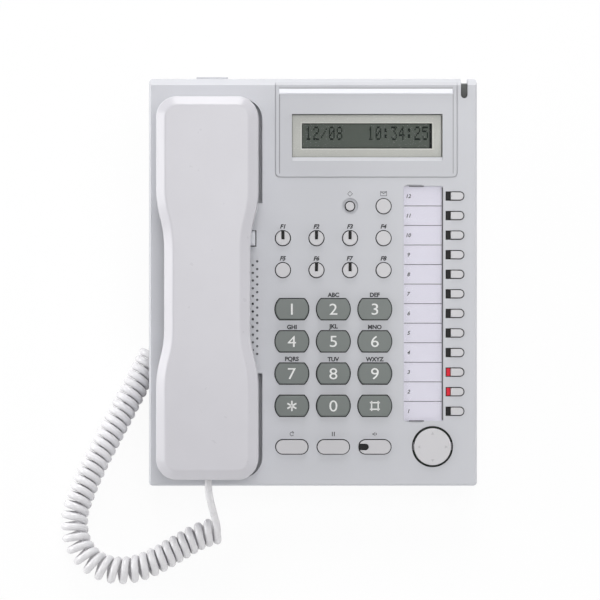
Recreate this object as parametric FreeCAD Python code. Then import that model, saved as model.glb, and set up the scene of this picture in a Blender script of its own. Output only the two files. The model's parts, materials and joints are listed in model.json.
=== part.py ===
"""Corded desk telephone: wedge case on a tilt stand, handset in its cradle, curly cord on the table.

Everything but the cord is laid out in the face frame and then turned onto the table:
u runs to the right, v to the rear along the face, w out of the face. All sizes are in millimetres.
"""
import FreeCAD, Part
import math
import os
from collections import namedtuple
from FreeCAD import Vector

# Stance on the table
tilt_deg = 15.0
front_clear = 5.0
foot_inset = 14.0
foot_side_inset = 15.0

# Case
case_width = 190.0
case_length = 236.0
case_depth = 26.0
seam_depth = 14.0
seam_gap = 0.15
wall = 2.5
web = 2.5
corner_radius = 2.2
rim_chamfer = 1.2
rear_bevel = 4.0
lip_height = 1.5
lip_thickness = 1.0
half_width = case_width / 2
half_length = case_length / 2

# Clearances
seat_gap = 0.3
slide_gap = 0.3
key_gap = 0.35
trim_gap = 0.1

# Handset, on a line through the middle of the cradle
handset_inset = 34.7
handset_length = 218.0
handset_width = 58.0
handset_waist = 48.8
handset_top = 27.0
handset_seam = 13.0
handset_corner = 12.0
handset_shift = -3.6
handset_bevel = 5.5
handset_bevel_drop = 3.5
handset_wall = 2.2
waist_half = 24.0
waist_run = 32.0
grip_height = 8.0
grip_half = 40.0
cup_inner = 50.4
cup_nose = 5.0
capsule_radius = 17.0
receiver_end_gap = 6.0
microphone_end_gap = 26.0
microphone_radius = 5.0
sound_hole_radius = 1.0
sound_hole_ring = 7.5
microphone_hole_pitch = 3.0

# Cradle wells
well_depth = 8.0
well_wall = 1.8
well_side_gap = 2.0
well_left_gap = 1.0
well_end_gap = 0.8
well_inner_gap = 1.1

# Hook switch
hook_length = 11.9
hook_width = 8.3
hook_right_gap = 2.6
hook_centre_v = 25.2
hook_lift = 4.2
hook_chamfer = 0.8
hook_flange = 1.5
hook_flange_thickness = 0.8

# Keys
flange_thickness = 1.2
flange_margin = 0.8
line_flange_margin = 0.9
keys_handset_gap = 9.15
keys_label_gap = 6.75
round_key = 9.0
function_left_inset = 0.25
function_right_inset = 0.36
function_row_closer = 0.15
function_bezel_gap = 16.7
function_rise = 1.6
program_dish = 9.4
program_key = 5.7
program_dish_depth = 1.2
program_rise = 0.3
dial_side_gap = 4.1
dial_function_gap = 3.95
dial_height = 12.55
dial_end_radius = 8.5
dial_rise = 2.0
oblong_front_gap = 22.6
oblong_dial_gap = 5.1
oblong_shorter = 0.9
oblong_height = 8.6
oblong_rise = 1.8
line_count = 12
line_bezel_gap = 10.8
line_nav_gap = 20.47
line_edge_gap = 7.5
line_length = 10.4
line_height = 5.0
line_lamp = 2.4
line_rise = 0.9
lamp_slot = 1.3
lamp_slot_length = 4.55
bullet_lamp_length = 5.4
bullet_lamp_height = 3.3
lamp_stand_down = 0.3

# Navigator disc on its two-axis gimbal
nav_edge_gap = 25.8
nav_front_gap = 22.7
nav_radius = 10.65
nav_ring_radius = 11.65
nav_rise = 1.8
nav_rim = 0.9
nav_chamfer = 0.5
nav_hub = 8.0
nav_hub_depth = 1.5
nav_stem = 4.0
gimbal_outer = 9.6
gimbal_inner = 6.8
gimbal_thickness = 3.0
gimbal_drop = 4.9
gimbal_pin = 0.9
pin_clearance = 0.05
lug_thickness = 2.6
lug_gap = 1.0
lug_half = 2.2

# Label strip
label_gap = 1.7
label_width = 22.9
label_bezel_gap = 5.0
label_nav_gap = 14.8
label_pocket = 1.5
card_thickness = 0.3
cover_thickness = 1.0
notch_length = 8.7
notch_width = 0.8

# Display
bezel_handset_gap = 9.5
bezel_length = 57.4
bezel_right_gap = 11.4
bezel_rise = 0.4
bezel_depth = 1.6
bezel_corner = 2.5
rib_inset = 2.35
rib_width = 2.9
rib_height = 0.7
rib_rear_gap = 5.1
window_left_gap = 9.65
window_right_gap = 8.55
window_length = 27.2
window_rear_gap = 20.7
window_sill = 2.3
lens_margin = 1.6
lens_thickness = 1.3
lcd_side_margin = 3.35
lcd_length = 19.7
lcd_glass = 1.2
lcd_gap = 0.2
module_margin = 3.6

# Message lamp
message_lamp_width = 3.6
message_lamp_length = 11.4
message_lamp_edge_gap = 7.4
message_lamp_rise = 0.35

# Speaker
speaker_handset_offset = 10.4
speaker_v = -16.9
speaker_radius = 24.0
speaker_flange = 1.8
basket_radius = 19.0
basket_depth = 6.5
magnet_radius = 12.5
speaker_depth = 13.2
grille_pitch_u = 2.55
grille_pitch_v = 4.47
grille_hole = 0.78
grille_rows = 13
grille_handset_inset = 1.0
grille_top_v = 12.0
grille_open_radius = 16.5
grille_dimple_depth = 1.0

# Boards and keypad mat
hook_stop_gap = 0.5
board_thickness = 1.6
mat_sheet = 1.0
mat_gap = 0.3
dome = 3.2
arm_front_v = 14.3

# Sockets and plugs
plug_width = 7.6
plug_height = 6.6
plug_length = 12.5
plug_fit = 0.2
socket_depth = 10.0
latch_width = 3.2
latch_height = 1.0
handset_plug_w = 6.0
base_socket_inset = 15.4
base_plug_w = -19.0
jack_wall = 1.6
pocket_width = 21.0
pocket_length = 60.0
pocket_roof = 13.3
pocket_wall = 1.8
line_socket_inset = 55.0
line_socket_width = 9.8
line_socket_height = 6.7
line_socket_depth = 9.0
line_socket_w = -19.0
line_block_margin = 1.7

# Screws
screw_inset = 8.0
screw_rear_right = 20.0
boss_radius = 3.3
screw_radius = 1.5
screw_head = 2.8
screw_head_height = 2.2
screw_seat = 18.0
screw_length = 7.6
screw_clear = 0.1

# Wall keyholes, tab and feet
keyhole_spacing = 83.0
keyhole_centre_v = -23.5
keyhole_radius = 4.5
keyhole_slot = 4.4
keyhole_run = 8.0
tab_length = 18.5
tab_reach = 2.3
tab_inset = 36.0
tab_top = 16.0
tab_height = 5.0
foot_radius = 7.0
foot_recess = 0.8
foot_fit = 0.2

# Tilt stand
stand_width = 116.0
stand_front_v = 32.0
stand_rear_gap = 5.98
stand_toe = 16.0
stand_wall = 2.8
stand_sole = 1.5
stand_pad = 3.0
stand_arch_reach = 34.0
stand_arch_z = 35.0
rear_foot_radius = 6.0

# Curly cord
wire = 4.2
wire_sides = 5
curl_radius = 5.9
curl_rest_gap = 0.72
curl_clear = 0.05
tail_straight = 5.0
bend_window = 14.0
first_turn = 1.0
last_turn = 0.75

tilt = math.radians(tilt_deg)
front_foot_v = -half_length + foot_inset
face_height = front_clear - front_foot_v * math.sin(tilt) + case_depth * math.cos(tilt)

handset_u = -half_width + handset_inset
handset_rear = handset_shift + handset_length / 2
handset_front = handset_shift - handset_length / 2
handset_right = handset_u + handset_width / 2
bezel_left = handset_right + bezel_handset_gap
bezel_right = half_width - bezel_right_gap
bezel_width = bezel_right - bezel_left
bezel_u = bezel_right - bezel_width / 2
bezel_front = half_length - bezel_length
rib_length = bezel_width - 2 * rib_inset
window_width = bezel_width - window_left_gap - window_right_gap
window_u = bezel_left + window_left_gap + window_width / 2
window_v = half_length - window_rear_gap - window_length / 2
lcd_width = window_width - 2 * lcd_side_margin
nav_u = half_width - nav_edge_gap
nav_v = -half_length + nav_front_gap
line_right = half_width - line_edge_gap
line_left = line_right - line_length
line_top_v = bezel_front - line_bezel_gap
line_pitch = (line_top_v - nav_v - line_nav_gap) / (line_count - 1)
label_right = line_left - label_gap
label_left = label_right - label_width
label_u = label_right - label_width / 2
label_rear = bezel_front - label_bezel_gap
label_front = nav_v + label_nav_gap
label_length = label_rear - label_front
label_centre_v = (label_rear + label_front) / 2
keys_left = handset_right + keys_handset_gap
keys_right = label_left - keys_label_gap
dial_u = (keys_left + keys_right) / 2
dial_length = (keys_right - keys_left - 2 * dial_side_gap) / 3
dial_pitch_u = dial_length + dial_side_gap
oblong_length = dial_length - oblong_shorter
function_u = keys_left + function_left_inset + round_key / 2
function_pitch_u = (keys_right - function_right_inset - round_key / 2 - function_u) / 3
function_v = bezel_front - function_bezel_gap
oblong_v = -half_length + oblong_front_gap
rows_length = function_v - oblong_v - dial_function_gap - oblong_dial_gap
dial_pitch_v = (rows_length + 2 * function_row_closer) / 7
function_pitch_v = dial_pitch_v - function_row_closer
dial_v = function_v - 2 * function_pitch_v - dial_pitch_v - dial_function_gap
speaker_u = handset_u + speaker_handset_offset
grille_right_u = handset_right - grille_handset_inset
message_lamp_u = half_width - message_lamp_edge_gap
base_socket_u = -half_width + base_socket_inset
line_socket_u = half_width - line_socket_inset
tab_centre_u = -half_width + tab_inset
stand_rear_y = half_length * math.cos(tilt) - stand_rear_gap
stand_arch_y = stand_rear_y - stand_arch_reach
board_top = web + hook_stop_gap + hook_lift + hook_flange_thickness + mat_gap
arm_rear_v = handset_shift + cup_inner - well_inner_gap - well_wall - seat_gap
under = -case_depth
floor = -case_depth + wall


# Outlines in the face plane


def face_from(start, steps):
    """Closed face from a start point and a list of ends, each with the arc's middle point or None."""
    edges = []
    here = Vector(start[0], start[1], 0)
    for middle, end in steps:
        there = Vector(end[0], end[1], 0)
        if middle is None:
            if here.distanceToPoint(there) > 1e-6:
                edges.append(Part.LineSegment(here, there).toShape())
        else:
            edges.append(Part.Arc(here, Vector(middle[0], middle[1], 0), there).toShape())
        here = there
    return Part.Face(Part.Wire(edges))


def rounded(u, v, length, height, radius=0.0):
    """Rectangle centred on (u, v), with its corners rounded when a radius is given."""
    a = length / 2
    b = height / 2
    if radius <= 0:
        corners = [(u + a, v - b), (u + a, v + b), (u - a, v + b), (u - a, v - b)]
        return face_from((u - a, v - b), [(None, c) for c in corners])
    r = min(radius, a, b)
    k = r * (1 - math.sqrt(0.5))
    steps = [
        (None, (u + a - r, v - b)),
        ((u + a - k, v - b + k), (u + a, v - b + r)),
        (None, (u + a, v + b - r)),
        ((u + a - k, v + b - k), (u + a - r, v + b)),
        (None, (u - a + r, v + b)),
        ((u - a + k, v + b - k), (u - a, v + b - r)),
        (None, (u - a, v - b + r)),
        ((u - a + k, v - b + k), (u - a + r, v - b)),
    ]
    return face_from((u - a + r, v - b), steps)


def bullet(left, v, length, height):
    """Square left end, round right end."""
    b = height / 2
    right = left + length
    steps = [
        (None, (right - b, v - b)),
        ((right, v), (right - b, v + b)),
        (None, (left, v + b)),
        (None, (left, v - b)),
    ]
    return face_from((left, v - b), steps)


def barrel(u, v, length, height, radius):
    """Flat top and bottom between two bulging ends."""
    b = height / 2
    bulge = radius - math.sqrt(radius * radius - b * b)
    a = length / 2 - bulge
    steps = [
        (None, (u + a, v - b)),
        ((u + a + bulge, v), (u + a, v + b)),
        (None, (u - a, v + b)),
        ((u - a - bulge, v), (u - a, v - b)),
    ]
    return face_from((u - a, v - b), steps)


def ring_of(u, v, radius):
    circle = Part.Circle(Vector(u, v, 0), Vector(0, 0, 1), radius)
    return Part.Face(Part.Wire([circle.toShape()]))


def prism(face, low, high):
    """The outline raised from one height over the face to another."""
    shape = face.copy()
    shape.translate(Vector(0, 0, low))
    return shape.extrude(Vector(0, 0, high - low))


def block(u0, u1, v0, v1, w0, w1):
    return Part.makeBox(u1 - u0, v1 - v0, w1 - w0, Vector(u0, v0, w0))


def rod(u, v, radius, low, high):
    return Part.makeCylinder(radius, high - low, Vector(u, v, low), Vector(0, 0, 1))


def peg(u, v, radius, low, high, sides=6):
    """Regular prism standing where a round post or hole is too small or hidden to need more faces."""
    corners = []
    for k in range(sides):
        angle = 2 * math.pi * (k + 0.5) / sides
        corners.append(Vector(u + radius * math.cos(angle), v + radius * math.sin(angle), low))
    return Part.Face(Part.makePolygon(corners + corners[:1])).extrude(Vector(0, 0, high - low))


def across(points, u0, u1):
    """Side profile, given as (v, w) points, run from u0 to u1."""
    corners = [Vector(u0, v, w) for v, w in points]
    return Part.Face(Part.makePolygon(corners + corners[:1])).extrude(Vector(u1 - u0, 0, 0))


def single(shape):
    """The one solid of a boolean result, with split faces joined."""
    clean = shape.removeSplitter()
    return clean.Solids[0] if len(clean.Solids) == 1 else clean


def joined(first, *others):
    return first.fuse(list(others))


def level_edges(shape, height):
    """Edges that lie flat at one height over the face."""
    return [e for e in shape.Edges
            if abs(e.BoundBox.ZMin - height) < 1e-6 and abs(e.BoundBox.ZMax - height) < 1e-6]


# Places on the table


def on_table(shape):
    """Turn a shape from the face frame to the table frame."""
    turned = shape.copy()
    turned.rotate(Vector(0, 0, 0), Vector(1, 0, 0), tilt_deg)
    turned.translate(Vector(0, 0, face_height))
    return turned


def table_point(point):
    u, v, w = point
    y = v * math.cos(tilt) - w * math.sin(tilt)
    z = v * math.sin(tilt) + w * math.cos(tilt) + face_height
    return Vector(u, y, z)


def face_point(y, z):
    """The (v, w) place of a point given by its table y and z."""
    rise = z - face_height
    return y * math.cos(tilt) + rise * math.sin(tilt), rise * math.cos(tilt) - y * math.sin(tilt)


# Keys

Key = namedtuple("Key", "name kind u v length height rise lamp")


def key_list():
    keys = []
    names = [
        ["", "", "program_key", "message_key"],
        ["intercom_key", "conference_key", "forward_key", "pause_key"],
        ["flash_key", "auto_answer_key", "auto_dial_key", "transfer_key"],
    ]
    lamps = ("intercom_key", "conference_key", "forward_key", "auto_answer_key", "auto_dial_key")
    for row, row_names in enumerate(names):
        for column, name in enumerate(row_names):
            if not name:
                continue
            u = function_u + column * function_pitch_u
            v = function_v - row * function_pitch_v
            size = program_key if name == "program_key" else round_key
            rise = program_rise if name == "program_key" else function_rise
            keys.append(Key(name, "round", u, v, size, size, rise, "slot" if name in lamps else ""))
    for index, mark in enumerate("1 2 3 4 5 6 7 8 9 star 0 hash".split()):
        u = dial_u + (index % 3 - 1) * dial_pitch_u
        v = dial_v - (index // 3) * dial_pitch_v
        keys.append(Key("dial_key_" + mark, "barrel", u, v, dial_length, dial_height, dial_rise, ""))
    for index, name in enumerate(("redial_key", "hold_key", "speakerphone_key")):
        u = dial_u + (index - 1) * dial_pitch_u
        lamp = "bullet" if name == "speakerphone_key" else ""
        keys.append(Key(name, "oblong", u, oblong_v, oblong_length, oblong_height, oblong_rise, lamp))
    for number in range(1, line_count + 1):
        v = line_top_v - (line_count - number) * line_pitch
        u = (line_left + line_right) / 2
        name = "line_key_%02d" % number
        keys.append(Key(name, "line", u, v, line_length, line_height, line_rise, "square"))
    return keys


def key_face(key, inset):
    """Outline of a key's opening, drawn in by the inset; a line key starts past its lamp."""
    if key.kind == "round":
        return ring_of(key.u, key.v, key.length / 2 - inset)
    if key.kind == "barrel":
        size = (key.length - 2 * inset, key.height - 2 * inset)
        return barrel(key.u, key.v, size[0], size[1], dial_end_radius - inset)
    if key.kind == "oblong":
        return rounded(key.u, key.v, key.length - 2 * inset, key.height - 2 * inset, key.height)
    left = key.u - key.length / 2
    if inset > 0:
        left += line_lamp + 0.7 * inset
    return bullet(left, key.v, key.u + key.length / 2 - inset - left, key.height - 2 * inset)


def lamp_face(key, grow):
    """Outline of the lamp that shows through or beside a key, let out by the given amount."""
    if key.lamp == "slot":
        v0 = key.v - 0.55 - grow
        v1 = key.v - 0.55 + lamp_slot_length + (key.height if grow else 0)
        return rounded(key.u, (v0 + v1) / 2, lamp_slot + 2 * grow, v1 - v0)
    if key.lamp == "bullet":
        left = key.u - key.length / 2 + key_gap - (key.height if grow else 0)
        right = key.u - key.length / 2 + key_gap + bullet_lamp_length + grow
        return bullet(left, key.v, right - left, bullet_lamp_height + 2 * grow)
    left = key.u - key.length / 2 + slide_gap / 2
    width = line_lamp - slide_gap
    return rounded(left + width / 2, key.v, width + 2 * grow, key.height - slide_gap + 2 * grow)


def key_solid(key):
    """Cap through the web, with a square flange that the web holds back."""
    top = -web - seat_gap
    cap = prism(key_face(key, key_gap), top - flange_thickness, key.rise)
    if key.kind == "line":
        left = key.u - key.length / 2 + line_lamp + 0.7 * key_gap
        b = key.height / 2 + line_flange_margin
        flange = block(left, key.u + key.length / 2 + flange_margin, key.v - b, key.v + b,
                       top - flange_thickness, top)
    else:
        least = round_key if key.kind == "round" else 0
        a = max(key.length, least) / 2 + flange_margin
        b = max(key.height, least) / 2 + flange_margin
        flange = block(key.u - a, key.u + a, key.v - b, key.v + b, top - flange_thickness, top)
    solid = joined(cap, flange)
    if key.lamp in ("slot", "bullet"):
        solid = solid.cut(prism(lamp_face(key, slide_gap * 0.7), top - 2 * flange_thickness, key.rise + 1))
    return single(solid)


def dome_centre(key):
    if key.lamp == "slot":
        return key.u, key.v - 2.7
    if key.lamp == "bullet":
        return key.u + 3.0, key.v
    if key.lamp == "square":
        return key.u + line_lamp / 2 + 0.4, key.v
    return key.u, key.v


# Case


def rear_wedge():
    """What the rear bevel takes off everything along the rear edge."""
    edge = half_length
    high = 5.0
    points = [(edge - rear_bevel - high, high), (edge + high, -rear_bevel - high), (edge + high, high)]
    return across(points, -case_width, case_width)


def case_block(low, high, inset):
    face = rounded(0, 0, case_width - 2 * inset, case_length - 2 * inset, max(corner_radius - inset, 0.8))
    return prism(face, low, high)


def well(side, inset):
    """Space of one cradle well; side is 1 at the rear and -1 at the front."""
    left = handset_u - handset_width / 2 - well_left_gap
    right = handset_u + handset_width / 2 + well_side_gap
    inner = handset_shift + side * (cup_inner - well_inner_gap)
    outer = handset_shift + side * (handset_length / 2 + well_end_gap)
    low = min(inner, outer)
    high = max(inner, outer)
    face = rounded((left + right) / 2, (low + high) / 2, right - left + 2 * inset, high - low + 2 * inset,
                   handset_corner + inset)
    space = prism(face, -well_depth - inset, 1.0 - inset * 1.5)
    near, far = sorted((inner - side * inset, inner + side * handset_corner))
    square_end = block(left - inset, right + inset, near, far, -well_depth - inset, 1.0 - inset * 1.5)
    return joined(space, square_end)


def hook_face(grow):
    right = handset_u + handset_waist / 2 + hook_right_gap
    return rounded(right - hook_length / 2, hook_centre_v, hook_length + 2 * grow, hook_width + 2 * grow)


def screw_places():
    u = half_width - screw_inset
    v = half_length - screw_inset + 0.3
    return [(-u, v), (-u, -v), (u, -v), (u, half_length - screw_rear_right)]


def grille_holes():
    """Staggered field of sound holes: right through over the loudspeaker, dimples beside it."""
    holes = []
    columns = int((grille_right_u - speaker_u + grille_open_radius) / grille_pitch_u) + 1
    for column in range(columns):
        u = grille_right_u - column * grille_pitch_u
        odd = column % 2
        for row in range(grille_rows - odd):
            v = grille_top_v - (row + odd / 2) * grille_pitch_v
            through = math.hypot(u - speaker_u, v - speaker_v) < grille_open_radius
            if not through and column > 2:
                continue
            depth = web + 1 if through else grille_dimple_depth
            holes.append(peg(u, v, grille_hole, -depth, 1))
    return holes


def bezel_face(inset):
    """Bezel outline: it runs past the rear edge, where the bevel cuts it."""
    left = bezel_u - bezel_width / 2 + inset
    right = bezel_u + bezel_width / 2 - inset
    front = bezel_front + inset
    rear = half_length + bezel_corner * 2
    return rounded((left + right) / 2, (front + rear) / 2, right - left, rear - front, bezel_corner)


def lens_face(inset):
    return rounded(window_u, window_v, window_width + 2 * (lens_margin - inset),
                   window_length + 2 * (lens_margin - inset))


def message_lamp_face(inset):
    """Lamp outline: round at the front, running past the rear edge."""
    width = message_lamp_width - 2 * inset
    front = half_length - message_lamp_length + inset
    rear = half_length + 2 * width
    return rounded(message_lamp_u, (front + rear) / 2, width, rear - front, width / 2)


def upper_case(keys):
    body = case_block(-seam_depth, 0, 0)
    body = body.makeChamfer(rim_chamfer, level_edges(body, 0))
    body = body.cut([rear_wedge(), case_block(-seam_depth - 1, -web, wall)])
    backing = [(half_length - rear_bevel - web - 1.5, -web), (half_length - wall, -web),
               (half_length - wall, -web - rear_bevel - 1.5)]
    bevel_backing = across(backing, -half_width + wall, half_width - wall)
    adds = [bevel_backing, well(1, well_wall), well(-1, well_wall)]
    for u, v in screw_places():
        adds.append(peg(u, v, boss_radius, -seam_depth, -web))
    lug_low = -gimbal_drop - gimbal_pin - 1.2
    for side in (-1, 1):
        near = gimbal_outer + lug_gap
        u0, u1 = sorted((nav_u + side * near, nav_u + side * (near + lug_thickness)))
        adds.append(block(u0, u1, nav_v - lug_half, nav_v + lug_half, lug_low, -web))
    body = joined(body, *adds)
    body = body.common(case_block(-seam_depth, 1, 0))

    cuts = [well(1, 0), well(-1, 0), prism(hook_face(slide_gap), -web - 1, 1)]
    for key in keys:
        cuts.append(prism(key_face(key, 0), -web - 1, 1))
        if key.name == "program_key":
            cuts.append(rod(key.u, key.v, program_dish / 2, -program_dish_depth, 1))
    cuts.append(rod(nav_u, nav_v, nav_ring_radius, -web - 0.01, 1))
    pin = Part.makeCylinder(gimbal_pin + pin_clearance, 4 * gimbal_outer,
                            Vector(nav_u - 2 * gimbal_outer, nav_v, -gimbal_drop), Vector(1, 0, 0))
    cuts.append(pin)
    cuts.append(prism(rounded(label_u, label_centre_v, label_width, label_length, 1.0), -label_pocket, 1))
    notch_u = label_u - label_width / 2 + notch_length / 2 + 1.8
    for side in (-1, 1):
        v = label_centre_v + side * (label_length / 2 + notch_width / 2 - 0.05)
        cuts.append(prism(rounded(notch_u, v, notch_length, notch_width + 0.1), -label_pocket, 1))
    cuts.append(prism(bezel_face(0), -bezel_depth, 1))
    cuts.append(prism(lens_face(-slide_gap), -seam_depth, 1))
    cuts.append(prism(message_lamp_face(-trim_gap), -board_top - 0.5, 1))
    cuts += grille_holes()
    for u, v in screw_places():
        tip = -screw_seat + screw_length + seat_gap
        cuts.append(rod(u, v, screw_radius + screw_clear, -seam_depth - 1, tip))
    return single(body.cut(cuts))


def pocket(inset):
    """Recess under the case where the cord reaches its socket."""
    half = pocket_width / 2 + inset
    rear = arm_front_v + inset
    front = arm_front_v - pocket_length - inset
    left = base_socket_u - half
    right = base_socket_u + half
    return block(left, right, front, rear, under - 1 + inset, -pocket_roof + inset)


def keyhole(v):
    entry = rod(0, v, keyhole_radius, under - 1, floor + 1)
    slot_face = rounded(0, v + keyhole_run / 2, keyhole_slot, keyhole_run, keyhole_slot / 2)
    slot = prism(slot_face, under - 1, floor + 1)
    return joined(entry, slot)


def lower_case():
    body = case_block(under, -seam_depth - seam_gap, 0)
    body = body.makeChamfer(rim_chamfer, level_edges(body, under))
    body = body.cut(case_block(floor, 0, wall))
    lip = case_block(-seam_depth - seam_gap - 2, -seam_depth + lip_height, wall + seam_gap)
    lip = lip.cut(case_block(-case_depth, 0, wall + seam_gap + lip_thickness))
    lip_root = case_block(-seam_depth - seam_gap - 3, -seam_depth - seam_gap - 1, wall - 0.2)
    lip_root = lip_root.cut(case_block(-case_depth, 0, wall + seam_gap + lip_thickness))
    adds = [lip, lip_root]
    adds.append(pocket(pocket_wall).common(case_block(under, 0, 0)))
    for u, v in screw_places():
        adds.append(peg(u, v, boss_radius + 1.0, floor - 0.5, -seam_depth - seam_gap))
    adds.append(block(tab_centre_u - tab_length / 2, tab_centre_u + tab_length / 2, half_length - 1,
                      half_length + tab_reach, -tab_top - tab_height, -tab_top))
    body = joined(body, *adds)
    cuts = [pocket(0)]
    half = plug_width / 2 + plug_fit + 0.3
    cuts.append(block(base_socket_u - half, base_socket_u + half, arm_front_v - 1,
                      arm_front_v + pocket_wall + 1, base_plug_w - plug_height / 2 - 0.5,
                      base_plug_w + plug_height / 2 + latch_height + 0.5))
    half = line_socket_width / 2 + seat_gap
    cuts.append(block(line_socket_u - half, line_socket_u + half, half_length - wall - lip_thickness - 1,
                      half_length + 1, line_socket_w - line_socket_height / 2 - seat_gap,
                      line_socket_w + line_socket_height / 2 + seat_gap))
    half = line_socket_width / 2 + line_block_margin + seat_gap
    cuts.append(block(line_socket_u - half, line_socket_u + half, half_length - wall - lip_thickness - 2,
                      half_length - wall, -seam_depth - seam_gap - 4, -seam_depth + lip_height + 1))
    for u, v in screw_places():
        cuts.append(rod(u, v, screw_head + 0.4, under - 1, -screw_seat))
        cuts.append(rod(u, v, screw_radius + screw_clear, -screw_seat - 1, 0))
    for side in (-1, 1):
        cuts.append(keyhole(keyhole_centre_v + side * keyhole_spacing / 2))
        cuts.append(rod(side * (half_width - foot_side_inset), front_foot_v, foot_radius + foot_fit, under - 1,
                        under + foot_recess))
    return single(body.cut(cuts))


# Display


def display_bezel():
    """Plate with a ribbed top edge, a window and a sloped sill under it."""
    body = prism(bezel_face(slide_gap), -bezel_depth + trim_gap, bezel_rise)
    rib_v = half_length - rib_rear_gap - rib_width / 2
    rib = across([(rib_v - rib_width / 2, bezel_rise), (rib_v + rib_width / 2, bezel_rise),
                  (rib_v + rib_width / 2, bezel_rise + rib_height * 0.3),
                  (rib_v + rib_width / 4, bezel_rise + rib_height),
                  (rib_v - rib_width / 4, bezel_rise + rib_height)],
                 bezel_u - rib_length / 2, bezel_u + rib_length / 2)
    body = joined(body, rib)
    front = window_v - window_length / 2
    rear = window_v + window_length / 2
    half = window_width / 2
    opening = across([(front + window_sill, -bezel_depth - 1), (front + window_sill, -bezel_depth + 0.2),
                      (front, bezel_rise + 0.01), (front, 2), (rear, 2), (rear, -bezel_depth - 1)],
                     window_u - half, window_u + half)
    wedge = rear_wedge()
    wedge.translate(Vector(0, 0, bezel_rise))
    end = block(-case_width, case_width, half_length, half_length + 50, -50, 50)
    return single(body.cut([opening, wedge, end]))


def display_window():
    return single(prism(lens_face(0), -bezel_depth - lens_thickness, -bezel_depth))


def lcd_module():
    """Framed module with the glass standing up behind the window."""
    top = -bezel_depth - lens_thickness - lcd_gap
    base = rounded(window_u, window_v, lcd_width + 2 * module_margin, lcd_length + 2 * module_margin)
    glass = rounded(window_u, window_v, lcd_width, lcd_length)
    body = prism(base, -board_top + trim_gap, top - lcd_glass)
    return single(joined(body, prism(glass, top - lcd_glass - 0.5, top)))


def lamp_lenses(keys):
    """Light pipes that stand on the board under each lamp opening."""
    foot = -board_top + trim_gap
    lamps = []
    for key in keys:
        if key.lamp:
            top = 0 if key.lamp == "square" else key.rise - lamp_stand_down
            lamps.append(prism(lamp_face(key, 0), foot, top))
    message = prism(message_lamp_face(0), foot, message_lamp_rise)
    wedge = rear_wedge()
    wedge.translate(Vector(0, 0, message_lamp_rise))
    end = block(-case_width, case_width, half_length + trim_gap, half_length + 50, -50, 50)
    lamps.append(single(message.cut([wedge, end])))
    return Part.makeCompound(lamps)


# Label strip


def label_card():
    face = rounded(label_u, label_centre_v, label_width - 2 * trim_gap, label_length - 2 * trim_gap, 0.8)
    return prism(face, -label_pocket, -label_pocket + card_thickness)


def label_cover():
    face = rounded(label_u, label_centre_v, label_width - 2 * trim_gap, label_length - 2 * trim_gap, 0.8)
    return prism(face, -cover_thickness, 0)


# Board, mat and sound


def main_board():
    """Printed board with its arm to the hook switch and the two sockets soldered under it."""
    top = -board_top
    low = top - board_thickness
    left = function_u - round_key / 2 - 2.6
    right = half_width - wall - 1.5
    edge = half_length - wall - 2.5
    board = block(left, right, -edge, edge, low, top)
    arm_left = base_socket_u - plug_width / 2 - jack_wall - 2
    arm = block(arm_left, left + 1, arm_front_v, arm_rear_v, low, top)
    jack_half = plug_width / 2 + plug_fit + jack_wall
    jack = block(base_socket_u - jack_half, base_socket_u + jack_half, arm_front_v + pocket_wall + trim_gap,
                 arm_front_v + pocket_wall + trim_gap + socket_depth + jack_wall, floor + seat_gap, low + 0.2)
    line_half = line_socket_width / 2 + line_block_margin
    line_rear = half_length - wall - trim_gap
    line_front = line_rear - line_socket_depth - line_block_margin
    line = block(line_socket_u - line_half, line_socket_u + line_half, line_front, line_rear,
                 floor + seat_gap, low + 0.2)
    body = joined(board, arm, jack, line)
    mouth = block(base_socket_u - plug_width / 2 - plug_fit, base_socket_u + plug_width / 2 + plug_fit, 0,
                  arm_front_v + pocket_wall + trim_gap + socket_depth, base_plug_w - plug_height / 2 - plug_fit,
                  base_plug_w + plug_height / 2 + latch_height + plug_fit)
    line_mouth = block(line_socket_u - line_socket_width / 2, line_socket_u + line_socket_width / 2,
                       line_rear - line_socket_depth, half_length, line_socket_w - line_socket_height / 2,
                       line_socket_w + line_socket_height / 2)
    cuts = [mouth, line_mouth]
    for u, v in screw_places():
        room = boss_radius + 0.7
        cuts.append(block(u - room, u + room + screw_inset, v - room, v + room, low - 1, top + 1))
    return single(body.cut(cuts))


def key_mat(keys):
    """Rubber sheet with one dome under each key."""
    low = -board_top + mat_gap
    high = low + mat_sheet
    dome_top = -web - seat_gap - flange_thickness - mat_gap
    left = function_u - round_key / 2 - 2.2
    right = dial_u + dial_pitch_u + dial_length / 2 + 1.5
    rear = function_v + round_key / 2 + 7.0
    front = oblong_v - oblong_height / 2 - 3.0
    key_left = line_left + line_lamp + 1.5
    line_front = line_top_v - (line_count - 1) * line_pitch - 5.0
    sheet = block(left, right, front, rear, low, high)
    strip = block(key_left, line_right + 1.5, line_front, rear, low, high)
    bridge = block(left, line_right + 1.5, rear - 3.0, rear, low, high)
    domes = []
    cuts = []
    for key in keys:
        u, v = dome_centre(key)
        domes.append(block(u - dome / 2, u + dome / 2, v - dome / 2, v + dome / 2, high - 0.3, dome_top))
        if key.lamp in ("slot", "bullet"):
            face = lamp_face(key, 0)
            box = face.BoundBox
            cuts.append(block(box.XMin - seat_gap, box.XMax + seat_gap, box.YMin - seat_gap,
                              box.YMax + seat_gap, low - 1, 0))
    return single(joined(sheet, strip, bridge, *domes).cut(cuts))


def loudspeaker():
    top = -web - seat_gap
    back = top - speaker_depth
    flange = rod(speaker_u, speaker_v, speaker_radius, top - speaker_flange, top)
    basket = rod(speaker_u, speaker_v, basket_radius, top - basket_depth, top)
    magnet = rod(speaker_u, speaker_v, magnet_radius, back, top)
    hollow = rod(speaker_u, speaker_v, basket_radius - 1.2, top - basket_depth + 1.2, top + 1)
    return single(joined(flange, basket, magnet).cut(hollow))


# Hook switch and navigator


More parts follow.
